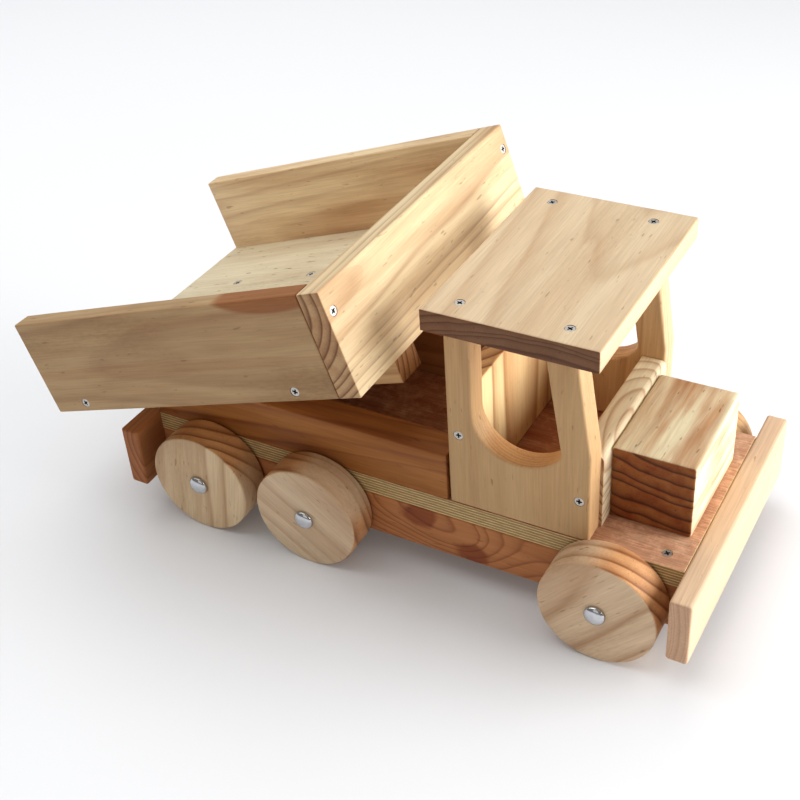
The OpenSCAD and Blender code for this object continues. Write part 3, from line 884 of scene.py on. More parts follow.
def plywood_finish(name, seat, half, look):
    """Plywood: an oiled face veneer, and thin plies that turn by turn show side and end grain."""
    material = bare_material(name)
    tree = material.node_tree
    nodes = tree.nodes
    links = tree.links

    # Where on the sheet
    place = nodes.new("ShaderNodeTexCoord")
    place.label = "Place on the truck"
    board = nodes.new("ShaderNodeMapping")
    board.label = "The sheet's own axes"
    parts = nodes.new("ShaderNodeSeparateXYZ")
    parts.label = "Height in the sheet"
    faced = nodes.new("ShaderNodeSeparateXYZ")
    faced.label = "Which way the surface faces"
    flat_on = nodes.new("ShaderNodeMath")
    flat_on.label = "Either face"
    face = nodes.new("ShaderNodeMapRange")
    face.label = "Face or edge"
    board.vector_type = "TEXTURE"
    board.inputs["Location"].default_value = seat.to_translation()
    flat_on.operation = "ABSOLUTE"
    face.interpolation_type = "SMOOTHSTEP"
    face.inputs["From Min"].default_value = 0.55
    face.inputs["From Max"].default_value = 0.8
    links.new(place.outputs["Object"], board.inputs["Vector"])
    links.new(board.outputs[0], parts.inputs["Vector"])
    links.new(place.outputs["Normal"], faced.inputs["Vector"])
    links.new(faced.outputs["Z"], flat_on.inputs[0])
    links.new(flat_on.outputs[0], face.inputs["Value"])
    frame_nodes(tree, "Where on the sheet", -2400, 400)

    # Plies on the edges
    wavy = nodes.new("ShaderNodeTexNoise")
    wavy.label = "Plies waver a little"
    waved = nodes.new("ShaderNodeMath")
    waved.label = "Height with waver"
    ply = nodes.new("ShaderNodeMath")
    ply.label = "Plies up to here"
    in_two = nodes.new("ShaderNodeMath")
    in_two.label = "Height within two plies"
    ply_tone = nodes.new("ShaderNodeValToRGB")
    ply_tone.label = "Side grain, glue, end grain, glue"
    ply_way = nodes.new("ShaderNodeMapping")
    ply_way.label = "Marks run along the plies"
    ply_marks = nodes.new("ShaderNodeTexNoise")
    ply_marks.label = "Torn fibres on the sawn edge"
    ply_shade = nodes.new("ShaderNodeMapRange")
    ply_shade.label = "Light and dark marks"
    plies = nodes.new("ShaderNodeMix")
    plies.label = "Marks on the plies"
    wavy.inputs["Scale"].default_value = 18
    wavy.inputs["Detail"].default_value = 1
    waved.operation = "MULTIPLY_ADD"
    waved.inputs[1].default_value = 0.0009
    ply.operation = "DIVIDE"
    ply.inputs[1].default_value = look["ply"] * 2
    in_two.operation = "FRACT"
    ramp = ply_tone.color_ramp
    ramp.elements[0].position = 0.0
    ramp.elements[0].color = (*look["glue"], 1)
    ramp.elements[1].position = 1.0
    ramp.elements[1].color = (*look["glue"], 1)
    for position, tone in ((0.04, "glue"), (0.09, "side"), (0.48, "side"), (0.53, "glue"),
                           (0.58, "across"), (0.96, "across")):
        ramp.elements.new(position).color = (*look[tone], 1)
    ply_way.inputs["Scale"].default_value = (0.12, 0.12, 1)
    ply_marks.inputs["Scale"].default_value = 900
    ply_marks.inputs["Detail"].default_value = 3
    ply_shade.inputs["From Min"].default_value = 0.3
    ply_shade.inputs["From Max"].default_value = 0.7
    ply_shade.inputs["To Min"].default_value = 0.72
    ply_shade.inputs["To Max"].default_value = 1.12
    plies.data_type = "RGBA"
    plies.blend_type = "MULTIPLY"
    plies.inputs[0].default_value = 1.0
    links.new(board.outputs[0], wavy.inputs["Vector"])
    links.new(wavy.outputs[0], waved.inputs[0])
    links.new(parts.outputs["Z"], waved.inputs[2])
    links.new(waved.outputs[0], ply.inputs[0])
    links.new(ply.outputs[0], in_two.inputs[0])
    links.new(in_two.outputs[0], ply_tone.inputs["Fac"])
    links.new(board.outputs[0], ply_way.inputs["Vector"])
    links.new(ply_way.outputs[0], ply_marks.inputs["Vector"])
    links.new(ply_marks.outputs[0], ply_shade.inputs["Value"])
    links.new(ply_tone.outputs["Color"], plies.inputs[6])
    links.new(ply_shade.outputs[0], plies.inputs[7])
    frame_nodes(tree, "Plies on the edges", -1900, 400)

    # Face veneer
    pore_way = nodes.new("ShaderNodeMapping")
    pore_way.label = "Pores run along the sheet"
    pores = nodes.new("ShaderNodeTexNoise")
    pores.label = "Fine pores"
    pore_shade = nodes.new("ShaderNodeMapRange")
    pore_shade.label = "Pores darken the oil"
    fig_way = nodes.new("ShaderNodeMapping")
    fig_way.label = "Figure runs along the sheet"
    figure = nodes.new("ShaderNodeTexNoise")
    figure.label = "Figure of the veneer"
    figured = nodes.new("ShaderNodeMix")
    figured.label = "Light and red veneer"
    figure_fit = nodes.new("ShaderNodeMapRange")
    figure_fit.label = "Contrast of the figure"
    dust = nodes.new("ShaderNodeTexNoise")
    dust.label = "Dry and oily patches"
    dust_fit = nodes.new("ShaderNodeMapRange")
    dust_fit.label = "How pale the dry patches are"
    bare = nodes.new("ShaderNodeMapRange")
    bare.label = "Bare wood round the hood"
    dry = nodes.new("ShaderNodeMath")
    dry.label = "Dry all over at the front"
    dusted = nodes.new("ShaderNodeMix")
    dusted.label = "Dry patches"
    veneered = nodes.new("ShaderNodeMix")
    veneered.label = "Pores on the veneer"
    pore_way.inputs["Scale"].default_value = (0.05, 1, 1)
    pores.inputs["Scale"].default_value = 950
    pores.inputs["Detail"].default_value = 3
    pores.inputs["Roughness"].default_value = 0.65
    pore_shade.inputs["From Min"].default_value = 0.3
    pore_shade.inputs["From Max"].default_value = 0.65
    pore_shade.inputs["To Min"].default_value = 0.68
    pore_shade.inputs["To Max"].default_value = 1.1
    fig_way.inputs["Scale"].default_value = (0.12, 1, 1)
    figure.inputs["Scale"].default_value = 90
    figure.inputs["Detail"].default_value = 4
    figure_fit.inputs["From Min"].default_value = 0.35
    figure_fit.inputs["From Max"].default_value = 0.68
    figured.data_type = "RGBA"
    figured.inputs[6].default_value = (*look["face"], 1)
    figured.inputs[7].default_value = (*look["face_red"], 1)
    dust.inputs["Scale"].default_value = 60
    dust.inputs["Detail"].default_value = 8
    dust.inputs["Roughness"].default_value = 0.75
    dust_fit.inputs["From Min"].default_value = 0.46
    dust_fit.inputs["From Max"].default_value = 0.66
    dust_fit.inputs["To Max"].default_value = 0.6
    bare.inputs["From Min"].default_value = half[0] - 0.12
    bare.inputs["From Max"].default_value = half[0] - 0.06
    dry.operation = "MULTIPLY_ADD"
    dry.inputs[1].default_value = 0.5
    dusted.data_type = "RGBA"
    dusted.inputs[7].default_value = (*look["dry"], 1)
    veneered.data_type = "RGBA"
    veneered.blend_type = "MULTIPLY"
    veneered.inputs[0].default_value = 1.0
    links.new(board.outputs[0], pore_way.inputs["Vector"])
    links.new(pore_way.outputs[0], pores.inputs["Vector"])
    links.new(pores.outputs[0], pore_shade.inputs["Value"])
    links.new(board.outputs[0], fig_way.inputs["Vector"])
    links.new(fig_way.outputs[0], figure.inputs["Vector"])
    links.new(figure.outputs[0], figure_fit.inputs["Value"])
    links.new(figure_fit.outputs[0], figured.inputs[0])
    links.new(board.outputs[0], dust.inputs["Vector"])
    links.new(dust.outputs[0], dust_fit.inputs["Value"])
    links.new(parts.outputs["X"], bare.inputs["Value"])
    links.new(bare.outputs[0], dry.inputs[0])
    links.new(dust_fit.outputs[0], dry.inputs[2])
    links.new(dry.outputs[0], dusted.inputs[0])
    links.new(figured.outputs[2], dusted.inputs[6])
    links.new(dusted.outputs[2], veneered.inputs[6])
    links.new(pore_shade.outputs[0], veneered.inputs[7])
    frame_nodes(tree, "Face veneer", -1900, -700)

    # Surface
    sheet = nodes.new("ShaderNodeMix")
    sheet.label = "Veneer on the faces, plies on the edges"
    relief = nodes.new("ShaderNodeMix")
    relief.label = "Pores or torn fibres"
    bump = nodes.new("ShaderNodeBump")
    bump.label = "Sanded sheet"
    gloss = nodes.new("ShaderNodeMapRange")
    gloss.label = "Oil sits unevenly"
    shader = nodes.new("ShaderNodeBsdfPrincipled")
    shader.label = "Oiled plywood"
    out = nodes.new("ShaderNodeOutputMaterial")
    out.label = "Surface"
    sheet.data_type = "RGBA"
    relief.data_type = "FLOAT"
    bump.inputs["Strength"].default_value = 0.35
    bump.inputs["Distance"].default_value = 0.0003
    gloss.inputs["To Min"].default_value = 0.5
    gloss.inputs["To Max"].default_value = 0.68
    shader.inputs["Specular IOR Level"].default_value = 0.35
    links.new(face.outputs[0], sheet.inputs[0])
    links.new(plies.outputs[2], sheet.inputs[6])
    links.new(veneered.outputs[2], sheet.inputs[7])
    links.new(face.outputs[0], relief.inputs[0])
    links.new(ply_marks.outputs[0], relief.inputs[2])
    links.new(pores.outputs[0], relief.inputs[3])
    links.new(relief.outputs[0], bump.inputs["Height"])
    links.new(dust.outputs[0], gloss.inputs["Value"])
    links.new(sheet.outputs[2], shader.inputs["Base Color"])
    links.new(gloss.outputs[0], shader.inputs["Roughness"])
    links.new(bump.outputs["Normal"], shader.inputs["Normal"])
    links.new(shader.outputs["BSDF"], out.inputs["Surface"])
    frame_nodes(tree, "Surface", -700, 400)
    return material


def steel_finish(name, look):
    """Plated steel with fine scratches and slightly uneven gloss."""
    material = bare_material(name)
    tree = material.node_tree
    nodes = tree.nodes
    links = tree.links
    place = nodes.new("ShaderNodeTexCoord")
    place.label = "Place on the truck"
    cloud = nodes.new("ShaderNodeTexNoise")
    cloud.label = "Cloudy plating"
    tone = nodes.new("ShaderNodeMix")
    tone.label = "Bright and dull plating"
    scratch_way = nodes.new("ShaderNodeMapping")
    scratch_way.label = "Scratches run one way"
    scratches = nodes.new("ShaderNodeTexNoise")
    scratches.label = "Fine scratches"
    frame_nodes(tree, "Plating", -900, 300)
    gloss = nodes.new("ShaderNodeMapRange")
    gloss.label = "Uneven gloss"
    bump = nodes.new("ShaderNodeBump")
    bump.label = "Scratched surface"
    shader = nodes.new("ShaderNodeBsdfPrincipled")
    shader.label = "Plated steel"
    out = nodes.new("ShaderNodeOutputMaterial")
    out.label = "Surface"
    cloud.inputs["Scale"].default_value = 260
    cloud.inputs["Detail"].default_value = 3
    tone.data_type = "RGBA"
    tone.inputs[6].default_value = (*look["bright"], 1)
    tone.inputs[7].default_value = (*look["dull"], 1)
    scratch_way.inputs["Rotation"].default_value = (0.4, 0.7, 0.2)
    scratch_way.inputs["Scale"].default_value = (0.06, 1, 1)
    scratches.inputs["Scale"].default_value = 2600
    scratches.inputs["Detail"].default_value = 2
    gloss.inputs["To Min"].default_value = look["gloss"][0]
    gloss.inputs["To Max"].default_value = look["gloss"][1]
    bump.inputs["Strength"].default_value = look["bump"]
    bump.inputs["Distance"].default_value = 0.0001
    shader.inputs["Metallic"].default_value = 1.0
    links.new(place.outputs["Object"], cloud.inputs["Vector"])
    links.new(cloud.outputs[0], tone.inputs[0])
    links.new(place.outputs["Object"], scratch_way.inputs["Vector"])
    links.new(scratch_way.outputs[0], scratches.inputs["Vector"])
    links.new(cloud.outputs[0], gloss.inputs["Value"])
    links.new(scratches.outputs[0], bump.inputs["Height"])
    links.new(tone.outputs[2], shader.inputs["Base Color"])
    links.new(gloss.outputs[0], shader.inputs["Roughness"])
    links.new(bump.outputs["Normal"], shader.inputs["Normal"])
    links.new(shader.outputs["BSDF"], out.inputs["Surface"])
    frame_nodes(tree, "Surface", -400, 300)
    return material


def floor_finish(name, colour):
    """A pale matt floor with a trace of unevenness."""
    material = bare_material(name)
    tree = material.node_tree
    nodes = tree.nodes
    links = tree.links
    place = nodes.new("ShaderNodeTexCoord")
    place.label = "Place on the floor"
    cloud = nodes.new("ShaderNodeTexNoise")
    cloud.label = "Faint unevenness"
    tone = nodes.new("ShaderNodeMix")
    tone.label = "Barely two tones"
    shader = nodes.new("ShaderNodeBsdfPrincipled")
    shader.label = "Matt paper"
    out = nodes.new("ShaderNodeOutputMaterial")
    out.label = "Surface"
    cloud.inputs["Scale"].default_value = 1.5
    tone.data_type = "RGBA"
    tone.inputs[6].default_value = (*colour, 1)
    tone.inputs[7].default_value = (*[c * 0.99 for c in colour], 1)
    shader.inputs["Roughness"].default_value = 0.9
    shader.inputs["Specular IOR Level"].default_value = 0.1
    links.new(place.outputs["Object"], cloud.inputs["Vector"])
    links.new(cloud.outputs[0], tone.inputs[0])
    links.new(tone.outputs[2], shader.inputs["Base Color"])
    links.new(shader.outputs["BSDF"], out.inputs["Surface"])
    frame_nodes(tree, "Floor", -900, 300)
    return material


# The look of a plain pine board. Lengths in metres: the pith's place across the board, each
# knot's place along and across, radius and push on the rings, and each heart patch's place along
# and across, half length, half width and strength.
PLAIN = {
    "seed": 0.0, "pith": (0.0, -0.11), "lean": (0.02, 0.01), "gap": 0.0052, "bend": 0.012,
    "bend_scale": 9.0, "bend_along": 0.3, "ring_strength": 0.6, "fibre": 0.1, "streak": 0.35,
    "streak_scale": 70.0, "streak_tint": (0.66, 0.5, 0.38), "patch": 0.35, "patch_scale": 12.0,
    "end": 0.75, "end_tint": (0.62, 0.46, 0.36), "edge": 0.45, "edge_tint": (0.78, 0.56, 0.36),
    "end_ring": 0.6, "end_ring_tint": (0.5, 0.38, 0.3), "stain": 0.0,
    "stain_tint": (0.62, 0.52, 0.42), "flecks": 0.45, "knots": [], "heart_patches": [],
    "tone": "golden", "tone_and_light_tint": (1.0, 1.0, 1.0),
    "heart_tint": (1.0, 1.0, 1.0), "knot_tint": (0.34, 0.17, 0.11),
}

# What all the wheels share, and what each piece has of its own
WHEEL = {
    "ring_strength": 0.55, "bend": 0.018, "end": 0.8, "end_tint": (0.86, 0.55, 0.3),
    "end_ring": 0.8, "streak": 0.5, "stain": 0.35, "patch": 0.12, "edge": 0.0,
}

# Each board's tint scales its colour: partly the board's own tone, partly painted light and shade, darker
# on shaded near sides and lighter on faces that look more brightly lit, such as the tray's far side
BOARD_LOOKS = {
    "chassis_beam_right": {
        "seed": 1.3, "pith": (0.03, -0.05), "gap": 0.0055, "bend": 0.02, "patch": 0.5, "streak": 0.6,
        "stain": 0.5, "ring_strength": 0.8,
        "knots": [(0.02, 0.012, 0.013, -0.02), (0.07, -0.012, 0.011, -0.016)],
        "knot_tint": (0.6, 0.4, 0.32),
        "tone_and_light_tint": (0.77, 0.51, 0.38)},
    "chassis_beam_left": {
        "seed": 2.1, "pith": (0.02, 0.06), "gap": 0.006,
        "tone_and_light_tint": (0.75, 0.6, 0.5)},
    "side_rail_right": {
        "seed": 3.7, "pith": (-0.03, 0.05), "lean": (0.02, 0.06), "gap": 0.0105, "bend": 0.02,
        "patch": 0.4, "ring_strength": 1.0, "streak": 0.9, "streak_scale": 45.0,
        "streak_tint": (0.5, 0.3, 0.2),
        "tone_and_light_tint": (0.62, 0.4, 0.17)},
    "side_rail_left": {
        "seed": 4.4, "pith": (0.03, -0.07), "gap": 0.009, "patch": 0.6, "ring_strength": 0.8,
        "tone_and_light_tint": (0.75, 0.55, 0.42)},
    "front_bumper": {
        "seed": 5.2, "pith": (0.01, -0.2), "gap": 0.004, "tone": "pale", "ring_strength": 0.15,
        "streak": 0.12, "patch": 0.1, "end": 0.6, "end_tint": (0.8, 0.66, 0.62), "end_ring": 0.25,
        "edge": 0.2,
        "tone_and_light_tint": (0.98, 0.96, 1.1)},
    "rear_bumper": {
        "seed": 6.9, "pith": (0.02, 0.08), "gap": 0.008, "patch": 0.8,
        "end_tint": (1.0, 0.9, 0.8), "end_ring": 0.5,
        "tone_and_light_tint": (0.62, 0.41, 0.31)},
    # The hood's very dark end tint is partly end grain soaking up oil and partly painted shade on its
    # shaded near end
    "hood_block": {
        "seed": 7.7, "pith": (0.04, -0.3), "gap": 0.011, "bend": 0.016, "bend_scale": 22.0, "patch": 0.6,
        "patch_scale": 34.0, "streak": 0.85, "streak_scale": 100.0, "streak_tint": (0.7, 0.4, 0.24),
        "end": 1.0, "end_tint": (0.4, 0.17, 0.07), "ring_strength": 0.3, "end_ring": 1.0,
        "end_ring_tint": (0.28, 0.2, 0.18), "edge": 0.1, "flecks": 0.7,
        "tone": "pale", "tone_and_light_tint": (1.17, 1.43, 1.71)},
    "cab_side_right": {
        "seed": 8.3, "pith": (0.02, 0.2), "gap": 0.0048, "tone": "pale", "ring_strength": 0.2,
        "patch": 0.2, "streak": 0.25, "edge": 0.3, "end": 0.5, "end_tint": (1.0, 0.74, 0.5),
        "end_ring": 0.25,
        "tone_and_light_tint": (0.82, 0.74, 0.65)},
    "cab_side_left": {
        "seed": 9.1, "pith": (-0.02, -0.17), "gap": 0.0055, "tone": "pale", "ring_strength": 0.4,
        "patch": 0.45, "end": 0.5, "end_tint": (1.0, 0.74, 0.5), "end_ring": 0.25},
    "cab_back_panel": {
        "seed": 10.6, "pith": (0.01, 0.08), "gap": 0.012, "patch": 0.5, "tone": "pale",
        "ring_strength": 0.8,
        "tone_and_light_tint": (1.38, 1.45, 1.36)},
    "dash_board": {
        "seed": 11.4, "pith": (0.06, 0.02), "lean": (0.35, 0.5), "gap": 0.006, "tone": "pale",
        "patch": 0.3,
        "tone_and_light_tint": (1.13, 1.35, 1.61)},
    "cab_roof": {
        "seed": 12.8, "pith": (0.03, 0.3), "lean": (0.03, 0.01), "gap": 0.006, "bend": 0.008,
        "bend_scale": 26.0, "bend_along": 0.1, "tone": "pale", "ring_strength": 0.25, "streak": 0.3,
        "patch": 0.2, "end": 1.0, "end_tint": (0.34, 0.22, 0.17), "end_ring": 0.9, "stain": 0.2,
        "tone_and_light_tint": (1.0, 1.07, 1.22)},
    "tray_floor": {
        "seed": 13.5, "pith": (0.0, -0.13), "gap": 0.006, "tone": "pale", "ring_strength": 0.08,
        "streak": 0.3, "patch": 0.2, "stain": 0.45, "flecks": 0.9,
        "tone_and_light_tint": (1.01, 1.18, 1.41)},
    "tray_side_right": {
        "seed": 14.2, "pith": (0.0, 0.14), "gap": 0.0075, "ring_strength": 0.35, "patch": 0.1,
        "streak": 0.5, "stain": 0.75,
        "heart_patches": [(0.13, 0.05, 0.06, 0.018, 0.9), (-0.02, -0.008, 0.2, 0.006, 0.2)],
        "heart_tint": (0.66, 0.56, 0.45), "edge": 0.25,
        "tone_and_light_tint": (0.75, 0.78, 0.83)},
    "tray_side_left": {
        "seed": 15.9, "pith": (-0.02, 0.1), "gap": 0.009, "tone": "pale",
        "ring_strength": 0.25, "patch": 0.6, "streak": 0.7, "stain": 0.7,
        "tone_and_light_tint": (1.43, 1.5, 1.6)},
    "tray_headboard": {
        "seed": 16.6, "pith": (0.035, -0.05), "gap": 0.0075, "ring_strength": 0.45, "streak": 0.6,
        "patch": 0.6, "end": 0.8, "end_ring": 1.0, "stain": 0.2, "edge": 0.1,
        "tone_and_light_tint": (1.25, 1.53, 1.92)},
    "tray_bearer_right": {
        "seed": 17.3, "pith": (0.01, 0.07), "gap": 0.008, "end_ring": 0.9},
    "tray_bearer_left": {
        "seed": 18.1, "pith": (0.01, -0.07)},
    "wheel_front_right": {
        "seed": 19.2, "pith": (0.03, -0.07), "gap": 0.011, "grain_turn": 45, **WHEEL,
        "tone_and_light_tint": (1.14, 1.36, 1.88)},
    "wheel_front_left": {
        "seed": 20.7, "pith": (0.01, -0.09), "gap": 0.009, "grain_turn": 100, **WHEEL},
    "wheel_middle_right": {
        "seed": 21.1, "pith": (0.04, -0.05), "gap": 0.0115, "grain_turn": -35, **WHEEL,
        "ring_strength": 0.35,
        "tone_and_light_tint": (1.07, 1.28, 1.77)},
    "wheel_middle_left": {
        "seed": 22.4, "pith": (0.01, -0.08), "gap": 0.009, "grain_turn": -30, **WHEEL},
    "wheel_rear_right": {
        "seed": 23.8, "pith": (0.02, -0.06), "gap": 0.0105, "grain_turn": 80, **WHEEL,
        "tone_and_light_tint": (1.13, 1.35, 1.76)},
    "wheel_rear_left": {
        "seed": 24.6, "pith": (0.02, -0.07), "gap": 0.01, "grain_turn": 10, **WHEEL},
}


def pine_for(node, seat, half):
    """The finish of one pine piece, from its look and the user's colours."""
    colours = bpy.context.scene.truck_colours
    look = {**PLAIN, **BOARD_LOOKS[node]}
    # The tint is partly the board's tone and partly painted light and shade
    early = [c * t for c, t in zip(getattr(colours, look["tone"]), look["tone_and_light_tint"])]
    look["early"] = [c * min(1.0, 0.95 / max(early)) for c in early]
    look["late"] = [c * min(t, 1.0) for c, t in zip(colours.ring, look["tone_and_light_tint"])]
    look["heart"] = [c * min(t, 1.0) for c, t in zip(colours.heart, look["heart_tint"])]
    return pine_finish("%s_pine" % node, seat, half, look)


def plain_board(node, axes, body, lie, ease, material=None):
    """Builds one rectangular board in place of its CAD node."""
    sizes = bpy.context.scene.truck_sizes
    lo, hi = box_in(axes, node)
    seat = seat_of(axes, lo, hi, lie)
    if material is None:
        material = pine_for(node, seat, half_sizes(lo, hi, lie))
    seed = BOARD_LOOKS.get(node, PLAIN)["seed"]
    shape = eased_board(lo, hi, ease, sizes, seed)
    return finish_piece(shape, node + "_board", axes, body, [node], material)


def sawn_piece(node, axes, body, lie, outline, ease):
    """Builds one board sawn to an outline in place of its CAD node."""
    lo, hi = box_in(axes, node)
    material = pine_for(node, seat_of(axes, lo, hi, lie), half_sizes(lo, hi, lie))
    shape = sawn_board(outline, lo.y, hi.y, ease)
    return finish_piece(shape, node + "_board", axes, body, [node], material)


# ---- Where the screws go ----

def screw_places():
    """For each screw node: its body, its axes, and (head's middle, direction out) of each screw."""
    r = bpy.context.scene.truck_sizes.screw_head
    places = {}
    lo, hi = box_in(TRUCK_AXES, "roof_screws")
    places["roof_screws"] = ("chassis", TRUCK_AXES, [
        ((x, y, hi.z), (0, 0, 1)) for x in (lo.x + r, hi.x - r) for y in (lo.y + r, hi.y - r)])
    lo, hi = box_in(TRUCK_AXES, "deck_screws")
    places["deck_screws"] = ("chassis", TRUCK_AXES, [
        ((hi.x - r, y, hi.z), (0, 0, 1)) for y in (lo.y + r, hi.y - r)])
    lo, hi = box_in(TRUCK_AXES, "cab_side_screws")
    places["cab_side_screws"] = ("chassis", TRUCK_AXES, [
        ((x, y, z), (0, math.copysign(1, y), 0))
        for y in (lo.y, hi.y) for x, z in ((lo.x + r, hi.z - r), (hi.x - r, lo.z + r))])
    lo, hi = box_in(TRAY_AXES, "headboard_screws")
    places["headboard_screws"] = ("tray", TRAY_AXES, [
        ((hi.x, y, hi.z - r), (1, 0, 0)) for y in (lo.y + r, hi.y - r)])
    lo, hi = box_in(TRAY_AXES, "tray_side_screws")
    places["tray_side_screws"] = ("tray", TRAY_AXES, [
        ((x, y, hi.z - r), (0, math.copysign(1, y), 0))
        for y in (lo.y, hi.y) for x in (lo.x + r, hi.x - r)])
    lo, hi = box_in(TRAY_AXES, "tray_floor_screws")
    places["tray_floor_screws"] = ("tray", TRAY_AXES, [
        ((x, y, hi.z), (0, 0, 1)) for x in (lo.x + r, hi.x - r) for y in (lo.y + r, hi.y - r)])
    return places


def screw_holes(node, pick=None):
    """The countersunk holes for one group of screws, as drill() wants them."""
    sizes = bpy.context.scene.truck_sizes
    r, shank, length = sizes.screw_head, sizes.screw_shank, sizes.screw_length
    _, axes, screws = screw_places()[node]
    turn = axes.to_3x3()
    # Depth and radius: outside the wood, at the face, under the head, and past the point
    steps = [(-0.003, r + 0.0006), (0.0001, r + HEAD_GAP), (r - shank + 0.0012, shank + SHANK_GAP),
             (length + 0.001, shank + SHANK_GAP)]
    return [(axes @ Vector(p), turn @ -Vector(d), steps) for p, d in screws
            if pick is None or pick(Vector(p))]


# ---- Geometry Nodes trees ----

def new_tree(name, sockets):
    """A tree that takes and gives geometry, with named inputs: (name, kind, default)."""
    tree = bpy.data.node_groups.new(name, "GeometryNodeTree")
    interface = tree.interface
    interface.new_socket(name="Geometry", in_out="INPUT", socket_type="NodeSocketGeometry")
    for title, kind, default in sockets:
        socket = interface.new_socket(
            name=title, in_out="INPUT", socket_type="NodeSocket" + kind)
        if default is not None:
            socket.default_value = default
    interface.new_socket(name="Geometry", in_out="OUTPUT", socket_type="NodeSocketGeometry")
    return tree


def screw_tree():
    """Screws on points: a cone head with a cross recess in painted shade on a tapered shank, each turned
    at random.
    """
    tree = new_tree("Countersunk screws", (
        ("Head radius", "Float", 0.004),
        ("Shank radius", "Float", 0.002),
        ("Length", "Float", 0.032),
        ("Seed", "Int", 1),
        ("Material", "Material", None),
        ("Recess material", "Material", None),
    ))
    nodes = tree.nodes
    links = tree.links
    given = nodes.new("NodeGroupInput")
    given.label = "Sizes"
    result = nodes.new("NodeGroupOutput")
    result.label = "Screws"

    # Head: a shallow dome rim over a cone
    depth = nodes.new("ShaderNodeMath")
    depth.label = "Height of the cone"
    head = nodes.new("GeometryNodeMeshCone")
    head.label = "Countersunk head"
    head_down = nodes.new("ShaderNodeCombineXYZ")
    head_down.label = "Below the face"
    head_minus = nodes.new("ShaderNodeMath")
    head_minus.label = "Downwards"
    head_move = nodes.new("GeometryNodeTransform")
    head_move.label = "Head under the face"
    depth.operation = "SUBTRACT"
    head_minus.operation = "MULTIPLY"
    head_minus.inputs[1].default_value = -1.0
    head.inputs["Vertices"].default_value = 32
    links.new(given.outputs["Head radius"], depth.inputs[0])
    links.new(given.outputs["Shank radius"], depth.inputs[1])
    links.new(given.outputs["Head radius"], head.inputs["Radius Top"])
    links.new(given.outputs["Shank radius"], head.inputs["Radius Bottom"])
    links.new(depth.outputs[0], head.inputs["Depth"])
    links.new(depth.outputs[0], head_minus.inputs[0])
    links.new(head_minus.outputs[0], head_down.inputs["Z"])
    links.new(head.outputs["Mesh"], head_move.inputs["Geometry"])
    links.new(head_down.outputs[0], head_move.inputs["Translation"])
    frame_nodes(tree, "Head", -1400, 700)

    # Cross recess
    slot_long = nodes.new("ShaderNodeMath")
    slot_long.label = "Length of the recess"
    slot_wide = nodes.new("ShaderNodeMath")
    slot_wide.label = "Width of the recess"
    slot_size = nodes.new("ShaderNodeCombineXYZ")
    slot_size.label = "One arm"
    slot_a = nodes.new("GeometryNodeMeshCube")
    slot_a.label = "Recess, first arm"
    slot_b = nodes.new("GeometryNodeTransform")
    slot_b.label = "Recess, second arm"
    bowl_wide = nodes.new("ShaderNodeMath")
    bowl_wide.label = "Radius of the recess's middle"
    bowl = nodes.new("GeometryNodeMeshCone")
    bowl.label = "Middle of the recess"
    bowl_low = nodes.new("GeometryNodeTransform")
    bowl_low.label = "Point of the recess at the bottom"
    cutters = nodes.new("GeometryNodeJoinGeometry")
    cutters.label = "Both arms and the middle"
    mark = nodes.new("GeometryNodeStoreNamedAttribute")
    mark.label = "Remember the faces of the recess"
    recess = nodes.new("GeometryNodeMeshBoolean")
    recess.label = "Head with its recess"
    slot_long.operation = "MULTIPLY"
    slot_long.inputs[1].default_value = 1.2
    slot_wide.operation = "MULTIPLY"
    slot_wide.inputs[1].default_value = 0.32
    bowl_wide.operation = "MULTIPLY"
    bowl_wide.inputs[1].default_value = 0.36
    bowl.inputs["Vertices"].default_value = 16
    bowl.inputs["Radius Bottom"].default_value = 0.0003
    bowl_low.inputs["Translation"].default_value = (0, 0, -0.0017)
    bowl.inputs["Depth"].default_value = 0.0019
    mark.data_type = "BOOLEAN"
    mark.domain = "FACE"
    mark.inputs["Name"].default_value = "recess"
    mark.inputs["Value"].default_value = True
    slot_b.inputs["Rotation"].default_value = (0, 0, math.pi / 2)
    recess.operation = "DIFFERENCE"
    recess.solver = "EXACT"
    links.new(given.outputs["Head radius"], slot_long.inputs[0])
    links.new(given.outputs["Head radius"], slot_wide.inputs[0])
    links.new(slot_long.outputs[0], slot_size.inputs["X"])
    links.new(slot_wide.outputs[0], slot_size.inputs["Y"])
    links.new(depth.outputs[0], slot_size.inputs["Z"])
    links.new(slot_size.outputs[0], slot_a.inputs["Size"])
    links.new(slot_a.outputs["Mesh"], slot_b.inputs["Geometry"])
    links.new(given.outputs["Head radius"], bowl_wide.inputs[0])
    links.new(bowl_wide.outputs[0], bowl.inputs["Radius Top"])
    links.new(bowl.outputs["Mesh"], bowl_low.inputs["Geometry"])
    links.new(slot_a.outputs["Mesh"], cutters.inputs["Geometry"])
    links.new(slot_b.outputs["Geometry"], cutters.inputs["Geometry"])
    links.new(bowl_low.outputs["Geometry"], cutters.inputs["Geometry"])
    links.new(cutters.outputs["Geometry"], mark.inputs["Geometry"])
    links.new(head_move.outputs["Geometry"], recess.inputs["Mesh 1"])
    links.new(mark.outputs["Geometry"], recess.inputs["Mesh 2"])
    recess.inputs["Self Intersection"].default_value = True
    frame_nodes(tree, "Cross recess", -1100, 700)

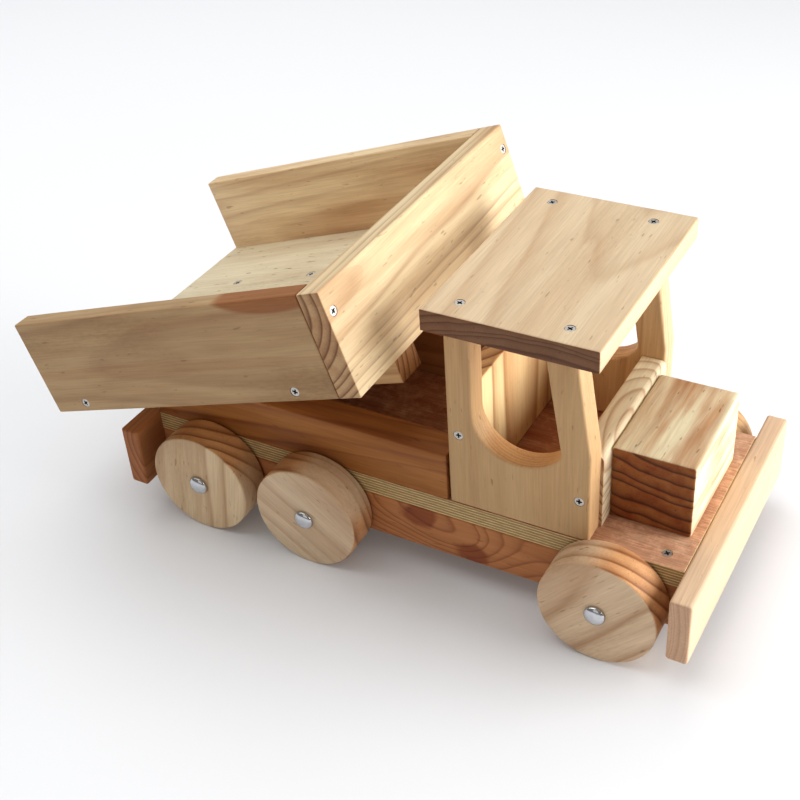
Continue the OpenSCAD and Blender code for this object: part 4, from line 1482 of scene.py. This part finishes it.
    # Shank
    shank = nodes.new("GeometryNodeMeshCone")
    shank.label = "Shank, tapering to its point"
    shank_minus = nodes.new("ShaderNodeMath")
    shank_minus.label = "Down to the point"
    shank_down = nodes.new("ShaderNodeCombineXYZ")
    shank_down.label = "Point at the bottom"
    shank_move = nodes.new("GeometryNodeTransform")
    shank_move.label = "Shank under the head"
    whole = nodes.new("GeometryNodeJoinGeometry")
    whole.label = "Head and shank"
    shank_minus.operation = "MULTIPLY"
    shank_minus.inputs[1].default_value = -1.0
    shank.inputs["Vertices"].default_value = 20
    shank.inputs["Radius Bottom"].default_value = 0.0004
    below = nodes.new("ShaderNodeMath")
    below.label = "Length of the shank"
    below.operation = "SUBTRACT"
    links.new(given.outputs["Length"], below.inputs[0])
    links.new(depth.outputs[0], below.inputs[1])
    links.new(given.outputs["Shank radius"], shank.inputs["Radius Top"])
    links.new(below.outputs[0], shank.inputs["Depth"])
    links.new(given.outputs["Length"], shank_minus.inputs[0])
    links.new(shank_minus.outputs[0], shank_down.inputs["Z"])
    links.new(shank.outputs["Mesh"], shank_move.inputs["Geometry"])
    links.new(shank_down.outputs[0], shank_move.inputs["Translation"])
    links.new(recess.outputs["Mesh"], whole.inputs["Geometry"])
    links.new(shank_move.outputs["Geometry"], whole.inputs["Geometry"])
    frame_nodes(tree, "Shank", -1400, -400)

    # One on each point, facing out, turned at random
    facing = nodes.new("GeometryNodeInputNamedAttribute")
    facing.label = "Which way each screw faces"
    aim = nodes.new("FunctionNodeAlignRotationToVector")
    aim.label = "Head outwards"
    spin = nodes.new("FunctionNodeRandomValue")
    spin.label = "Where each stopped turning"
    spin_z = nodes.new("ShaderNodeCombineXYZ")
    spin_z.label = "About its own axis"
    turned = nodes.new("FunctionNodeRotateRotation")
    turned.label = "Aimed and turned"
    spread = nodes.new("GeometryNodeInstanceOnPoints")
    spread.label = "A screw on each point"
    real = nodes.new("GeometryNodeRealizeInstances")
    real.label = "Plain mesh"
    finish = nodes.new("GeometryNodeSetMaterial")
    finish.label = "Zinc plating"
    in_recess = nodes.new("GeometryNodeInputNamedAttribute")
    in_recess.label = "Faces of the recess"
    # The recess gets its own dark material: painted shade in the recess
    shade_painted = nodes.new("GeometryNodeSetMaterial")
    shade_painted.label = "Recess in painted shade"
    in_recess.data_type = "BOOLEAN"
    in_recess.inputs["Name"].default_value = "recess"
    facing.data_type = "FLOAT_VECTOR"
    facing.inputs["Name"].default_value = "facing"
    aim.axis = "Z"
    spin.data_type = "FLOAT"
    spin.inputs[2].default_value = 0.0
    spin.inputs[3].default_value = math.pi
    turned.rotation_space = "LOCAL"
    links.new(facing.outputs["Attribute"], aim.inputs["Vector"])
    links.new(given.outputs["Seed"], spin.inputs["Seed"])
    links.new(spin.outputs[1], spin_z.inputs["Z"])
    links.new(aim.outputs["Rotation"], turned.inputs["Rotation"])
    links.new(spin_z.outputs[0], turned.inputs["Rotate By"])
    links.new(given.outputs["Geometry"], spread.inputs["Points"])
    links.new(whole.outputs["Geometry"], spread.inputs["Instance"])
    links.new(turned.outputs["Rotation"], spread.inputs["Rotation"])
    links.new(spread.outputs["Instances"], real.inputs["Geometry"])
    links.new(real.outputs["Geometry"], finish.inputs["Geometry"])
    links.new(given.outputs["Material"], finish.inputs["Material"])
    links.new(finish.outputs["Geometry"], shade_painted.inputs["Geometry"])
    links.new(in_recess.outputs["Attribute"], shade_painted.inputs["Selection"])
    links.new(given.outputs["Recess material"], shade_painted.inputs["Material"])
    links.new(shade_painted.outputs["Geometry"], result.inputs["Geometry"])
    frame_nodes(tree, "Placing", -600, 300)
    given.location = (-1700, 300)
    result.location = (200, 300)
    return tree


def wheel_tree():
    """A wheel: a section with rounded corners swept round the axle."""
    tree = new_tree("Turned wheel", (
        ("Radius", "Float", WHEEL_RADIUS),
        ("Width", "Float", 0.032),
        ("Bore radius", "Float", 0.004),
        ("Edge radius", "Float", 0.003),
        ("Unevenness", "Float", 0.0003),
        ("Seed", "Float", 0.0),
        ("Material", "Material", None),
    ))
    nodes = tree.nodes
    links = tree.links
    given = nodes.new("NodeGroupInput")
    given.label = "Sizes"
    result = nodes.new("NodeGroupOutput")
    result.label = "Wheel"

    # The section, from the bore to the rim
    reach = nodes.new("ShaderNodeMath")
    reach.label = "From bore to rim"
    summed = nodes.new("ShaderNodeMath")
    summed.label = "Bore plus rim"
    middle = nodes.new("ShaderNodeMath")
    middle.label = "Middle of the section"
    section = nodes.new("GeometryNodeCurvePrimitiveQuadrilateral")
    section.label = "Section of the wheel"
    outer = nodes.new("FunctionNodeCompare")
    outer.label = "A corner at the rim"
    spot = nodes.new("GeometryNodeInputPosition")
    spot.label = "Where the corner is"
    spot_xyz = nodes.new("ShaderNodeSeparateXYZ")
    spot_xyz.label = "Rim or bore"
    ease = nodes.new("GeometryNodeSwitch")
    ease.label = "Radius of the corner"
    rounded = nodes.new("GeometryNodeFilletCurve")
    rounded.label = "Rounded corners"
    reach.operation = "SUBTRACT"
    summed.operation = "ADD"
    middle.operation = "MULTIPLY"
    middle.inputs[1].default_value = 0.5
    outer.data_type = "FLOAT"
    outer.operation = "GREATER_THAN"
    outer.inputs[1].default_value = 0.0
    ease.input_type = "FLOAT"
    ease.inputs[1].default_value = 0.0006
    rounded.mode = "POLY"
    rounded.inputs[1].default_value = 5
    links.new(given.outputs["Radius"], reach.inputs[0])
    links.new(given.outputs["Bore radius"], reach.inputs[1])
    links.new(given.outputs["Radius"], summed.inputs[0])
    links.new(given.outputs["Bore radius"], summed.inputs[1])
    links.new(summed.outputs[0], middle.inputs[0])
    links.new(reach.outputs[0], section.inputs["Width"])
    links.new(given.outputs["Width"], section.inputs["Height"])
    links.new(spot.outputs["Position"], spot_xyz.inputs["Vector"])
    links.new(spot_xyz.outputs["X"], outer.inputs[0])
    links.new(outer.outputs["Result"], ease.inputs[0])
    links.new(given.outputs["Edge radius"], ease.inputs[2])
    links.new(section.outputs["Curve"], rounded.inputs["Curve"])
    links.new(ease.outputs[0], rounded.inputs["Radius"])
    frame_nodes(tree, "Section", -1400, 400)

    # Sweep
    path = nodes.new("GeometryNodeCurvePrimitiveCircle")
    path.label = "Round the axle"
    sweep = nodes.new("GeometryNodeCurveToMesh")
    sweep.label = "The turned wheel"
    path.inputs["Resolution"].default_value = 112
    links.new(middle.outputs[0], path.inputs["Radius"])
    links.new(path.outputs["Curve"], sweep.inputs["Curve"])
    links.new(rounded.outputs["Curve"], sweep.inputs["Profile Curve"])
    frame_nodes(tree, "Sweep", -900, 400)

    # Sanding by hand: the rim is a little lower here and there
    where = nodes.new("GeometryNodeInputPosition")
    where.label = "Each point"
    lump = nodes.new("ShaderNodeTexNoise")
    lump.label = "Sanded by hand"
    shrink = nodes.new("ShaderNodeMath")
    shrink.label = "How far it is worn"
    keep = nodes.new("ShaderNodeMath")
    keep.label = "Share of the radius left"
    inwards = nodes.new("ShaderNodeCombineXYZ")
    inwards.label = "Inwards only"
    worn = nodes.new("ShaderNodeVectorMath")
    worn.label = "Worn rim"
    move = nodes.new("GeometryNodeSetPosition")
    move.label = "Sanded wheel"
    smooth = nodes.new("GeometryNodeSetShadeSmooth")
    smooth.label = "Smooth faces"
    finish = nodes.new("GeometryNodeSetMaterial")
    finish.label = "Pine"
    real = nodes.new("GeometryNodeRealizeInstances")
    real.label = "Plain mesh"
    lump.noise_dimensions = "4D"
    lump.inputs["Scale"].default_value = 26
    shrink.operation = "MULTIPLY"
    keep.operation = "MULTIPLY_ADD"
    keep.inputs[1].default_value = -1 / WHEEL_RADIUS
    keep.inputs[2].default_value = 1.0
    inwards.inputs["Z"].default_value = 1.0
    worn.operation = "MULTIPLY"
    links.new(where.outputs["Position"], lump.inputs["Vector"])
    links.new(given.outputs["Seed"], lump.inputs["W"])
    links.new(lump.outputs[0], shrink.inputs[0])
    links.new(given.outputs["Unevenness"], shrink.inputs[1])
    links.new(shrink.outputs[0], keep.inputs[0])
    links.new(keep.outputs[0], inwards.inputs["X"])
    links.new(keep.outputs[0], inwards.inputs["Y"])
    links.new(where.outputs["Position"], worn.inputs[0])
    links.new(inwards.outputs[0], worn.inputs[1])
    links.new(sweep.outputs["Mesh"], move.inputs["Geometry"])
    links.new(worn.outputs[0], move.inputs["Position"])
    links.new(move.outputs["Geometry"], smooth.inputs["Geometry"])
    links.new(smooth.outputs["Geometry"], real.inputs["Geometry"])
    links.new(real.outputs["Geometry"], finish.inputs["Geometry"])
    links.new(given.outputs["Material"], finish.inputs["Material"])
    links.new(finish.outputs["Geometry"], result.inputs["Geometry"])
    frame_nodes(tree, "Sanding", -600, 400)
    given.location = (-1700, 300)
    result.location = (200, 300)
    return tree


def cap_tree():
    """Axle caps on points: a sphere flattened to a low dome on a short skirt."""
    tree = new_tree("Axle caps", (
        ("Radius", "Float", 0.009),
        ("Skirt", "Float", CAP_SKIRT),
        ("Rise", "Float", CAP_RISE),
        ("Material", "Material", None),
    ))
    nodes = tree.nodes
    links = tree.links
    given = nodes.new("NodeGroupInput")
    given.label = "Sizes"
    result = nodes.new("NodeGroupOutput")
    result.label = "Caps"
    ball = nodes.new("GeometryNodeMeshUVSphere")
    ball.label = "A ball to flatten"
    where = nodes.new("GeometryNodeInputPosition")
    where.label = "Each point"
    parts = nodes.new("ShaderNodeSeparateXYZ")
    parts.label = "Upper or lower half"
    upper = nodes.new("FunctionNodeCompare")
    upper.label = "On the dome"
    dome = nodes.new("ShaderNodeMath")
    dome.label = "Height on the dome"
    height = nodes.new("GeometryNodeSwitch")
    height.label = "Dome above, flat below"
    joined = nodes.new("ShaderNodeCombineXYZ")
    joined.label = "The cap's point"
    rise = nodes.new("ShaderNodeMath")
    rise.label = "Rise for each radius"
    squash = nodes.new("GeometryNodeSetPosition")
    squash.label = "The cap"
    smooth = nodes.new("GeometryNodeSetShadeSmooth")
    smooth.label = "Smooth faces"
    frame_nodes(tree, "Shape", -1000, 400)
    facing = nodes.new("GeometryNodeInputNamedAttribute")
    facing.label = "Which way each cap faces"
    aim = nodes.new("FunctionNodeAlignRotationToVector")
    aim.label = "Dome outwards"
    spread = nodes.new("GeometryNodeInstanceOnPoints")
    spread.label = "A cap on each axle's end"
    real = nodes.new("GeometryNodeRealizeInstances")
    real.label = "Plain mesh"
    finish = nodes.new("GeometryNodeSetMaterial")
    finish.label = "Bright zinc"
    ball.inputs["Segments"].default_value = 48
    ball.inputs["Rings"].default_value = 28
    upper.data_type = "FLOAT"
    upper.operation = "GREATER_THAN"
    upper.inputs[1].default_value = -0.00002
    dome.operation = "MULTIPLY_ADD"
    height.input_type = "FLOAT"
    height.inputs[1].default_value = 0.0
    rise.operation = "DIVIDE"
    facing.data_type = "FLOAT_VECTOR"
    facing.inputs["Name"].default_value = "facing"
    aim.axis = "Z"
    links.new(given.outputs["Radius"], ball.inputs["Radius"])
    links.new(where.outputs["Position"], parts.inputs["Vector"])
    links.new(parts.outputs["Z"], upper.inputs[0])
    links.new(given.outputs["Rise"], rise.inputs[0])
    links.new(given.outputs["Radius"], rise.inputs[1])
    links.new(parts.outputs["Z"], dome.inputs[0])
    links.new(rise.outputs[0], dome.inputs[1])
    links.new(given.outputs["Skirt"], dome.inputs[2])
    links.new(upper.outputs["Result"], height.inputs[0])
    links.new(dome.outputs[0], height.inputs[2])
    links.new(parts.outputs["X"], joined.inputs["X"])
    links.new(parts.outputs["Y"], joined.inputs["Y"])
    links.new(height.outputs[0], joined.inputs["Z"])
    links.new(ball.outputs["Mesh"], squash.inputs["Geometry"])
    links.new(joined.outputs[0], squash.inputs["Position"])
    links.new(squash.outputs["Geometry"], smooth.inputs["Geometry"])
    links.new(facing.outputs["Attribute"], aim.inputs["Vector"])
    links.new(given.outputs["Geometry"], spread.inputs["Points"])
    links.new(smooth.outputs["Geometry"], spread.inputs["Instance"])
    links.new(aim.outputs["Rotation"], spread.inputs["Rotation"])
    links.new(spread.outputs["Instances"], real.inputs["Geometry"])
    links.new(real.outputs["Geometry"], finish.inputs["Geometry"])
    links.new(given.outputs["Material"], finish.inputs["Material"])
    links.new(finish.outputs["Geometry"], result.inputs["Geometry"])
    frame_nodes(tree, "Placing", -300, 400)
    given.location = (-1300, 300)
    result.location = (200, 300)
    return tree


def grow(name, tree, points, inputs):
    """Runs a Geometry Nodes tree on points with facings and returns the result as a plain piece."""
    mesh = bpy.data.meshes.new(name)
    mesh.from_pydata([p for p, _ in points], [], [])
    facing = mesh.attributes.new("facing", "FLOAT_VECTOR", "POINT")
    for i, (_, way) in enumerate(points):
        facing.data[i].vector = way
    piece = bpy.data.objects.new(name, mesh)
    bpy.context.scene.collection.objects.link(piece)
    grown = piece.modifiers.new(tree.name, "NODES")
    grown.node_group = tree
    for socket in tree.interface.items_tree:
        if socket.item_type == "SOCKET" and socket.in_out == "INPUT" and socket.name in inputs:
            grown[socket.identifier] = inputs[socket.name]
    bpy.context.view_layer.update()
    made = plain_mesh(piece)
    piece.modifiers.remove(grown)
    swap_mesh(piece, made)
    return piece


def tree_named(name, build):
    """The tree of that name, built the first time it is asked for."""
    return bpy.data.node_groups.get(name) or build()


# ---- Operators ----

class TRUCK_OT_deck(bpy.types.Operator):
    """Plywood deck with the two beams under it"""
    bl_idname = "truck.deck"
    bl_label = "Deck and beams"

    def execute(self, context):
        sizes = context.scene.truck_sizes
        lo, hi = box_in(TRUCK_AXES, "deck_board")
        look = {
            "ply": (hi.z - lo.z) / PLIES, "glue": (0.1, 0.05, 0.025), "side": (0.78, 0.58, 0.28),
            "across": (0.46, 0.3, 0.14), "face": tuple(context.scene.truck_colours.veneer),
            "face_red": (0.36, 0.12, 0.05), "dry": (0.82, 0.5, 0.32),
        }
        seat = seat_of(TRUCK_AXES, lo, hi, "x_flat")
        plywood = plywood_finish("deck_plywood", seat, half_sizes(lo, hi, "x_flat"), look)
        deck = plain_board("deck_board", TRUCK_AXES, "chassis", "x_flat", DECK_EASE, plywood)
        drill(deck, screw_holes("deck_screws"))
        for node in ("chassis_beam_right", "chassis_beam_left"):
            beam = plain_board(node, TRUCK_AXES, "chassis", "x_on_edge", sizes.ease)
            low, high = box_in(TRUCK_AXES, node)
            holes = []
            for axle in AXLES:
                a, b = box_in(TRUCK_AXES, axle)
                centre = (a + b) / 2
                holes.append(cross_hole(TRUCK_AXES, centre.x, centre.z, low.y, high.y, PIN_HOLE))
            drill(beam, holes)
        return {"FINISHED"}


class TRUCK_OT_rails(bpy.types.Operator):
    """Side rails on the deck, drilled for the tray's pin"""
    bl_idname = "truck.rails"
    bl_label = "Side rails"

    def execute(self, context):
        ease = context.scene.truck_sizes.ease
        pin = Vector(TRAY_JOINT["pos_m"])
        for node in ("side_rail_right", "side_rail_left"):
            lo, hi = box_in(TRUCK_AXES, node)
            top = hi.z - pin.z
            turned = math.degrees(math.acos((pin.x - lo.x) / top))
            outline = [(lo.x, lo.z), (hi.x, lo.z), (hi.x, hi.z)]
            outline += arc((pin.x, pin.z), top, 90, 180 - turned, 6)
            rail = sawn_piece(node, TRUCK_AXES, "chassis", "x_on_edge", outline, ease)
            drill(rail, [cross_hole(TRUCK_AXES, pin.x, pin.z, lo.y, hi.y, PIN_HOLE)])
        return {"FINISHED"}


class TRUCK_OT_bumpers(bpy.types.Operator):
    """Front and rear bumper boards"""
    bl_idname = "truck.bumpers"
    bl_label = "Bumpers"

    def execute(self, context):
        ease = context.scene.truck_sizes.bumper_ease
        for node in ("front_bumper", "rear_bumper"):
            plain_board(node, TRUCK_AXES, "chassis", "y_on_edge", ease)
        return {"FINISHED"}


class TRUCK_OT_hood(bpy.types.Operator):
    """Hood block in front of the cab"""
    bl_idname = "truck.hood"
    bl_label = "Hood block"

    def execute(self, context):
        ease = context.scene.truck_sizes.bumper_ease
        plain_board("hood_block", TRUCK_AXES, "chassis", "y_flat", ease)
        return {"FINISHED"}


class TRUCK_OT_cab_sides(bpy.types.Operator):
    """Cab sides sawn to shape, with their windows"""
    bl_idname = "truck.cab_sides"
    bl_label = "Cab sides"

    def execute(self, context):
        s = context.scene.truck_sizes
        for node, side in (("cab_side_right", -1), ("cab_side_left", 1)):
            lo, hi = box_in(TRUCK_AXES, node)
            x0, z0 = lo.x, lo.z
            rear = (x0 + s.post + s.rear_corner, z0 + s.sill + s.rear_corner)
            front = (rear[0], z0 + s.sill + s.front_corner)
            window_end = s.post + s.window
            reach = math.degrees(math.asin((s.window - s.rear_corner) / s.front_corner))
            outline = [(x0, z0), (hi.x, z0), (hi.x, z0 + s.cab_kink)]
            outline += [(hi.x - s.cab_lean, hi.z), (x0 + window_end - s.window_lean, hi.z)]
            outline += [(x0 + window_end, z0 + s.sill + FRONT_CORNER_TOP)]
            outline += arc(front, s.front_corner, 270 + reach, 270, 9)
            outline += arc(rear, s.rear_corner, 270, 180, 14)[1:]
            outline += [(x0 + s.post, hi.z), (x0, hi.z)]
            board = sawn_piece(node, TRUCK_AXES, "chassis", "z_upright", outline, s.window_ease)
            drill(board, screw_holes("cab_side_screws", lambda p: p.y * side > 0))
        return {"FINISHED"}


class TRUCK_OT_cab_boards(bpy.types.Operator):
    """Back panel, dash board and roof of the cab"""
    bl_idname = "truck.cab_boards"
    bl_label = "Back panel, dash and roof"

    def execute(self, context):
        s = context.scene.truck_sizes
        plain_board("cab_back_panel", TRUCK_AXES, "chassis", "z_across", s.ease)
        lo, hi = box_in(TRUCK_AXES, "dash_board")
        r = s.dash_round
        outline = [(lo.x, lo.z), (hi.x, lo.z)] + arc((hi.x - r, hi.z - r), r, 0, 90, 9) + [(lo.x, hi.z)]
        sawn_piece("dash_board", TRUCK_AXES, "chassis", "y_on_edge", outline, DASH_EASE)
        roof = plain_board("cab_roof", TRUCK_AXES, "chassis", "y_flat", s.ease)
        drill(roof, screw_holes("roof_screws"))
        return {"FINISHED"}


class TRUCK_OT_tray(bpy.types.Operator):
    """Tipping tray: floor, two sides, headboard and the bearers on its pin"""
    bl_idname = "truck.tray"
    bl_label = "Tipping tray"

    def execute(self, context):
        s = context.scene.truck_sizes
        floor = plain_board("tray_floor", TRAY_AXES, "tray", "x_flat", s.ease * TRAY_FLOOR_SHARE)
        drill(floor, screw_holes("tray_floor_screws"))
        for node, side in (("tray_side_right", -1), ("tray_side_left", 1)):
            board = plain_board(node, TRAY_AXES, "tray", "x_on_edge", s.ease)
            drill(board, screw_holes("tray_side_screws", lambda p: p.y * side > 0))
        head = plain_board("tray_headboard", TRAY_AXES, "tray", "y_on_edge", s.ease)
        drill(head, screw_holes("headboard_screws"))
        for node in ("tray_bearer_right", "tray_bearer_left"):
            lo, hi = box_in(TRAY_AXES, node)
            outline = [(0, lo.z), (hi.x, lo.z), (hi.x, hi.z), (lo.x, hi.z)]
            outline += arc((0, 0), -lo.x, 180, 270, 14)[:-1]
            bearer = sawn_piece(node, TRAY_AXES, "tray", "x_on_edge", outline, s.ease)
            drill(bearer, [cross_hole(TRAY_AXES, 0, 0, lo.y, hi.y, BEARING_HOLE)])
        return {"FINISHED"}


class TRUCK_OT_wheels(bpy.types.Operator):
    """Six solid wheels on their axles"""
    bl_idname = "truck.wheels"
    bl_label = "Wheels"

    def execute(self, context):
        s = context.scene.truck_sizes
        tree = tree_named("Turned wheel", wheel_tree)
        for node in [n for n in frame["nodes"] if n.startswith("wheel_")]:
            lo, hi = box_in(TRUCK_AXES, node)
            look = BOARD_LOOKS[node]
            turn = math.radians(look["grain_turn"])
            grain = Vector((math.cos(turn), 0, math.sin(turn)))
            thick = Vector((0, -1, 0))
            axes = Matrix((grain, thick.cross(grain), thick)).transposed().to_4x4()
            seat = Matrix.Translation((lo + hi) / 2) @ axes
            radius = (hi.z - lo.z) / 2
            pine = pine_for(node, seat, (radius, radius, (hi.y - lo.y) / 2))
            piece = grow(node + "_disc", tree, [((0, 0, 0), (0, 0, 1))], {
                "Radius": radius, "Width": hi.y - lo.y, "Bore radius": s.wheel_bore,
                "Edge radius": s.wheel_round, "Seed": look["seed"], "Material": pine})
            upright = Matrix.Translation((lo + hi) / 2) @ Matrix.Rotation(math.radians(90), 4, "X")
            piece.data.transform(upright)
            tidy_normals(piece)
            declare(piece, node, [node])
        return {"FINISHED"}


def tidy_normals(piece):
    """Merges doubled points and turns every face outwards."""
    shape = bmesh.new()
    shape.from_mesh(piece.data)
    bmesh.ops.remove_doubles(shape, verts=shape.verts, dist=1e-6)
    bmesh.ops.recalc_face_normals(shape, faces=shape.faces)
    for e in shape.edges:
        e.smooth = e.calc_face_angle(0) < SHARP_TURNED
    for f in shape.faces:
        f.smooth = True
    shape.to_mesh(piece.data)
    shape.free()


class TRUCK_OT_axles(bpy.types.Operator):
    """Steel of the axles, washers and pin, and the domed axle caps"""
    bl_idname = "truck.axles"
    bl_label = "Axles and caps"

    def execute(self, context):
        drawn = steel_finish("axle_drawn_steel", {
            "bright": (0.62, 0.62, 0.62), "dull": (0.42, 0.42, 0.43), "gloss": (0.25, 0.45), "bump": 0.2})
        for node in (*AXLES, "axle_washers", "tray_pivot_pin"):
            frame["nodes"][node].data.materials.clear()
            frame["nodes"][node].data.materials.append(drawn)
        zinc = steel_finish("cap_bright_zinc", {
            "bright": (0.7, 0.71, 0.74), "dull": (0.5, 0.51, 0.54), "gloss": (0.1, 0.22), "bump": 0.06})
        lo, hi = box_in(TRUCK_AXES, "axle_caps")
        points = []
        for axle in AXLES:
            a, b = box_in(TRUCK_AXES, axle)
            for side, end in ((-1, lo.y), (1, hi.y)):
                base = end - side * (CAP_SKIRT + CAP_RISE)
                points.append((((a.x + b.x) / 2, base, (a.z + b.z) / 2), (0, side, 0)))
        tree = tree_named("Axle caps", cap_tree)
        caps = grow("axle_cap_domes", tree, points, {
            "Radius": (hi.z - lo.z) / 2, "Skirt": CAP_SKIRT, "Rise": CAP_RISE, "Material": zinc})
        tidy_normals(caps)
        declare(caps, "chassis", ["axle_caps"])
        return {"FINISHED"}


class TRUCK_OT_screws(bpy.types.Operator):
    """Countersunk screws"""
    bl_idname = "truck.screws"
    bl_label = "Screws"

    def execute(self, context):
        s = context.scene.truck_sizes
        zinc = steel_finish("screw_zinc", {
            "bright": (0.82, 0.8, 0.76), "dull": (0.5, 0.48, 0.45), "gloss": (0.45, 0.65), "bump": 0.3})
        # Near-black steel for the screws' recesses: painted shade
        dark = steel_finish("screw_recess_dark", {
            "bright": (0.1, 0.09, 0.08), "dull": (0.04, 0.035, 0.03), "gloss": (0.5, 0.7), "bump": 0.3})
        tree = tree_named("Countersunk screws", screw_tree)
        for seed, (node, (body, axes, screws)) in enumerate(screw_places().items()):
            turn = axes.to_3x3()
            points = [(axes @ Vector(p), turn @ Vector(d)) for p, d in screws]
            piece = grow(node + "_zinc", tree, points, {
                "Head radius": s.screw_head, "Shank radius": s.screw_shank,
                "Length": s.screw_length, "Seed": seed + 3, "Material": zinc,
                "Recess material": dark})
            tidy_normals(piece)
            declare(piece, body, [node])
        return {"FINISHED"}


class TRUCK_OT_stage(bpy.types.Operator):
    """Pale floor, soft lights and the camera"""
    bl_idname = "truck.stage"
    bl_label = "Floor, lights and camera"

    def execute(self, context):
        scene = context.scene
        sheet = bmesh.new()
        bmesh.ops.create_grid(sheet, x_segments=8, y_segments=8, size=9)
        mesh = bpy.data.meshes.new("floor")
        sheet.to_mesh(mesh)
        sheet.free()
        mesh.materials.append(floor_finish("floor_paper", scene.truck_colours.floor))
        floor = bpy.data.objects.new("floor", mesh)
        scene.collection.objects.link(floor)

        world = bpy.data.worlds.new("studio")
        scene.world = world
        world.use_nodes = True
        sky = world.node_tree.nodes["Background"]
        sky.inputs["Color"].default_value = (1.0, 0.96, 0.9, 1)
        sky.inputs["Strength"].default_value = 0.25

        # Name, place, width, watts and colour
        lights = (
            ("window_light", (1.7, 0.45, 0.55), 1.2, 42.0, (1.0, 1.0, 1.0)),
            ("ceiling_light", (-1.1, 0.2, 2.3), 3.2, 60.0, (0.95, 0.98, 1.0)),
            ("fill_light", (0.3, -2.5, 1.5), 2.0, 7.0, (1.0, 0.93, 0.84)),
            ("floor_light", (0.0, 0.4, 3.0), 6.0, 112.0, (1.0, 1.0, 1.0)),
        )
        for name, place, size, power, colour in lights:
            lamp = bpy.data.lights.new(name, "AREA")
            lamp.shape = "SQUARE"
            lamp.size = size
            lamp.energy = power
            lamp.color = colour
            holder = bpy.data.objects.new(name, lamp)
            holder.location = place
            aim = Vector((0, 0, 0.1)) - Vector(place)
            holder.rotation_euler = aim.to_track_quat("-Z", "Y").to_euler()
            scene.collection.objects.link(holder)
            if name == "floor_light":
                # This one lights the floor alone and passes through the truck
                only_floor = bpy.data.collections.new("lit_floor")
                only_floor.objects.link(floor)
                holder.light_linking.receiver_collection = only_floor
                holder.light_linking.blocker_collection = only_floor

        lens = bpy.data.cameras.new("camera")
        lens.lens = 59.361
        lens.sensor_width = 36
        camera = bpy.data.objects.new("camera", lens)
        deck_lo, deck_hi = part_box("deck_board")
        camera.location = (deck_lo.x + 0.70057, -0.82192, deck_hi.z + 0.70756)
        camera.rotation_euler = [math.radians(a) for a in (54.0294, 3.4203, 28.743)]
        scene.collection.objects.link(camera)
        scene.camera = camera
        scene.view_settings.view_transform = "Standard"
        scene.view_settings.gamma = 0.9
        return {"FINISHED"}


PARTS = (TRUCK_OT_deck, TRUCK_OT_rails, TRUCK_OT_bumpers, TRUCK_OT_hood, TRUCK_OT_cab_sides,
         TRUCK_OT_cab_boards, TRUCK_OT_tray, TRUCK_OT_wheels, TRUCK_OT_axles, TRUCK_OT_screws,
         TRUCK_OT_stage)


class TRUCK_PT_parts(bpy.types.Panel):
    """Lists the truck's parts and sizes"""
    bl_idname = "TRUCK_PT_parts"
    bl_label = "Wooden Tip Truck"
    bl_space_type = "VIEW_3D"
    bl_region_type = "UI"
    bl_category = "Tip Truck"

    def draw(self, context):
        for part in PARTS:
            self.layout.operator(part.bl_idname)
        for group in (context.scene.truck_sizes, context.scene.truck_colours):
            for name in group.bl_rna.properties.keys():
                if name not in ("rna_type", "name"):
                    self.layout.prop(group, name)


CLASSES = (TruckSizes, TruckColours, *PARTS, TRUCK_PT_parts)


def register():
    for kind in CLASSES:
        bpy.utils.register_class(kind)
    bpy.types.Scene.truck_sizes = bpy.props.PointerProperty(type=TruckSizes)
    bpy.types.Scene.truck_colours = bpy.props.PointerProperty(type=TruckColours)


def unregister():
    del bpy.types.Scene.truck_colours
    del bpy.types.Scene.truck_sizes
    for kind in reversed(CLASSES):
        bpy.utils.unregister_class(kind)


def main():
    register()
    for part in PARTS:
        group, name = part.bl_idname.split(".")
        getattr(getattr(bpy.ops, group), name)()


if __name__ == "__main__":
    main()
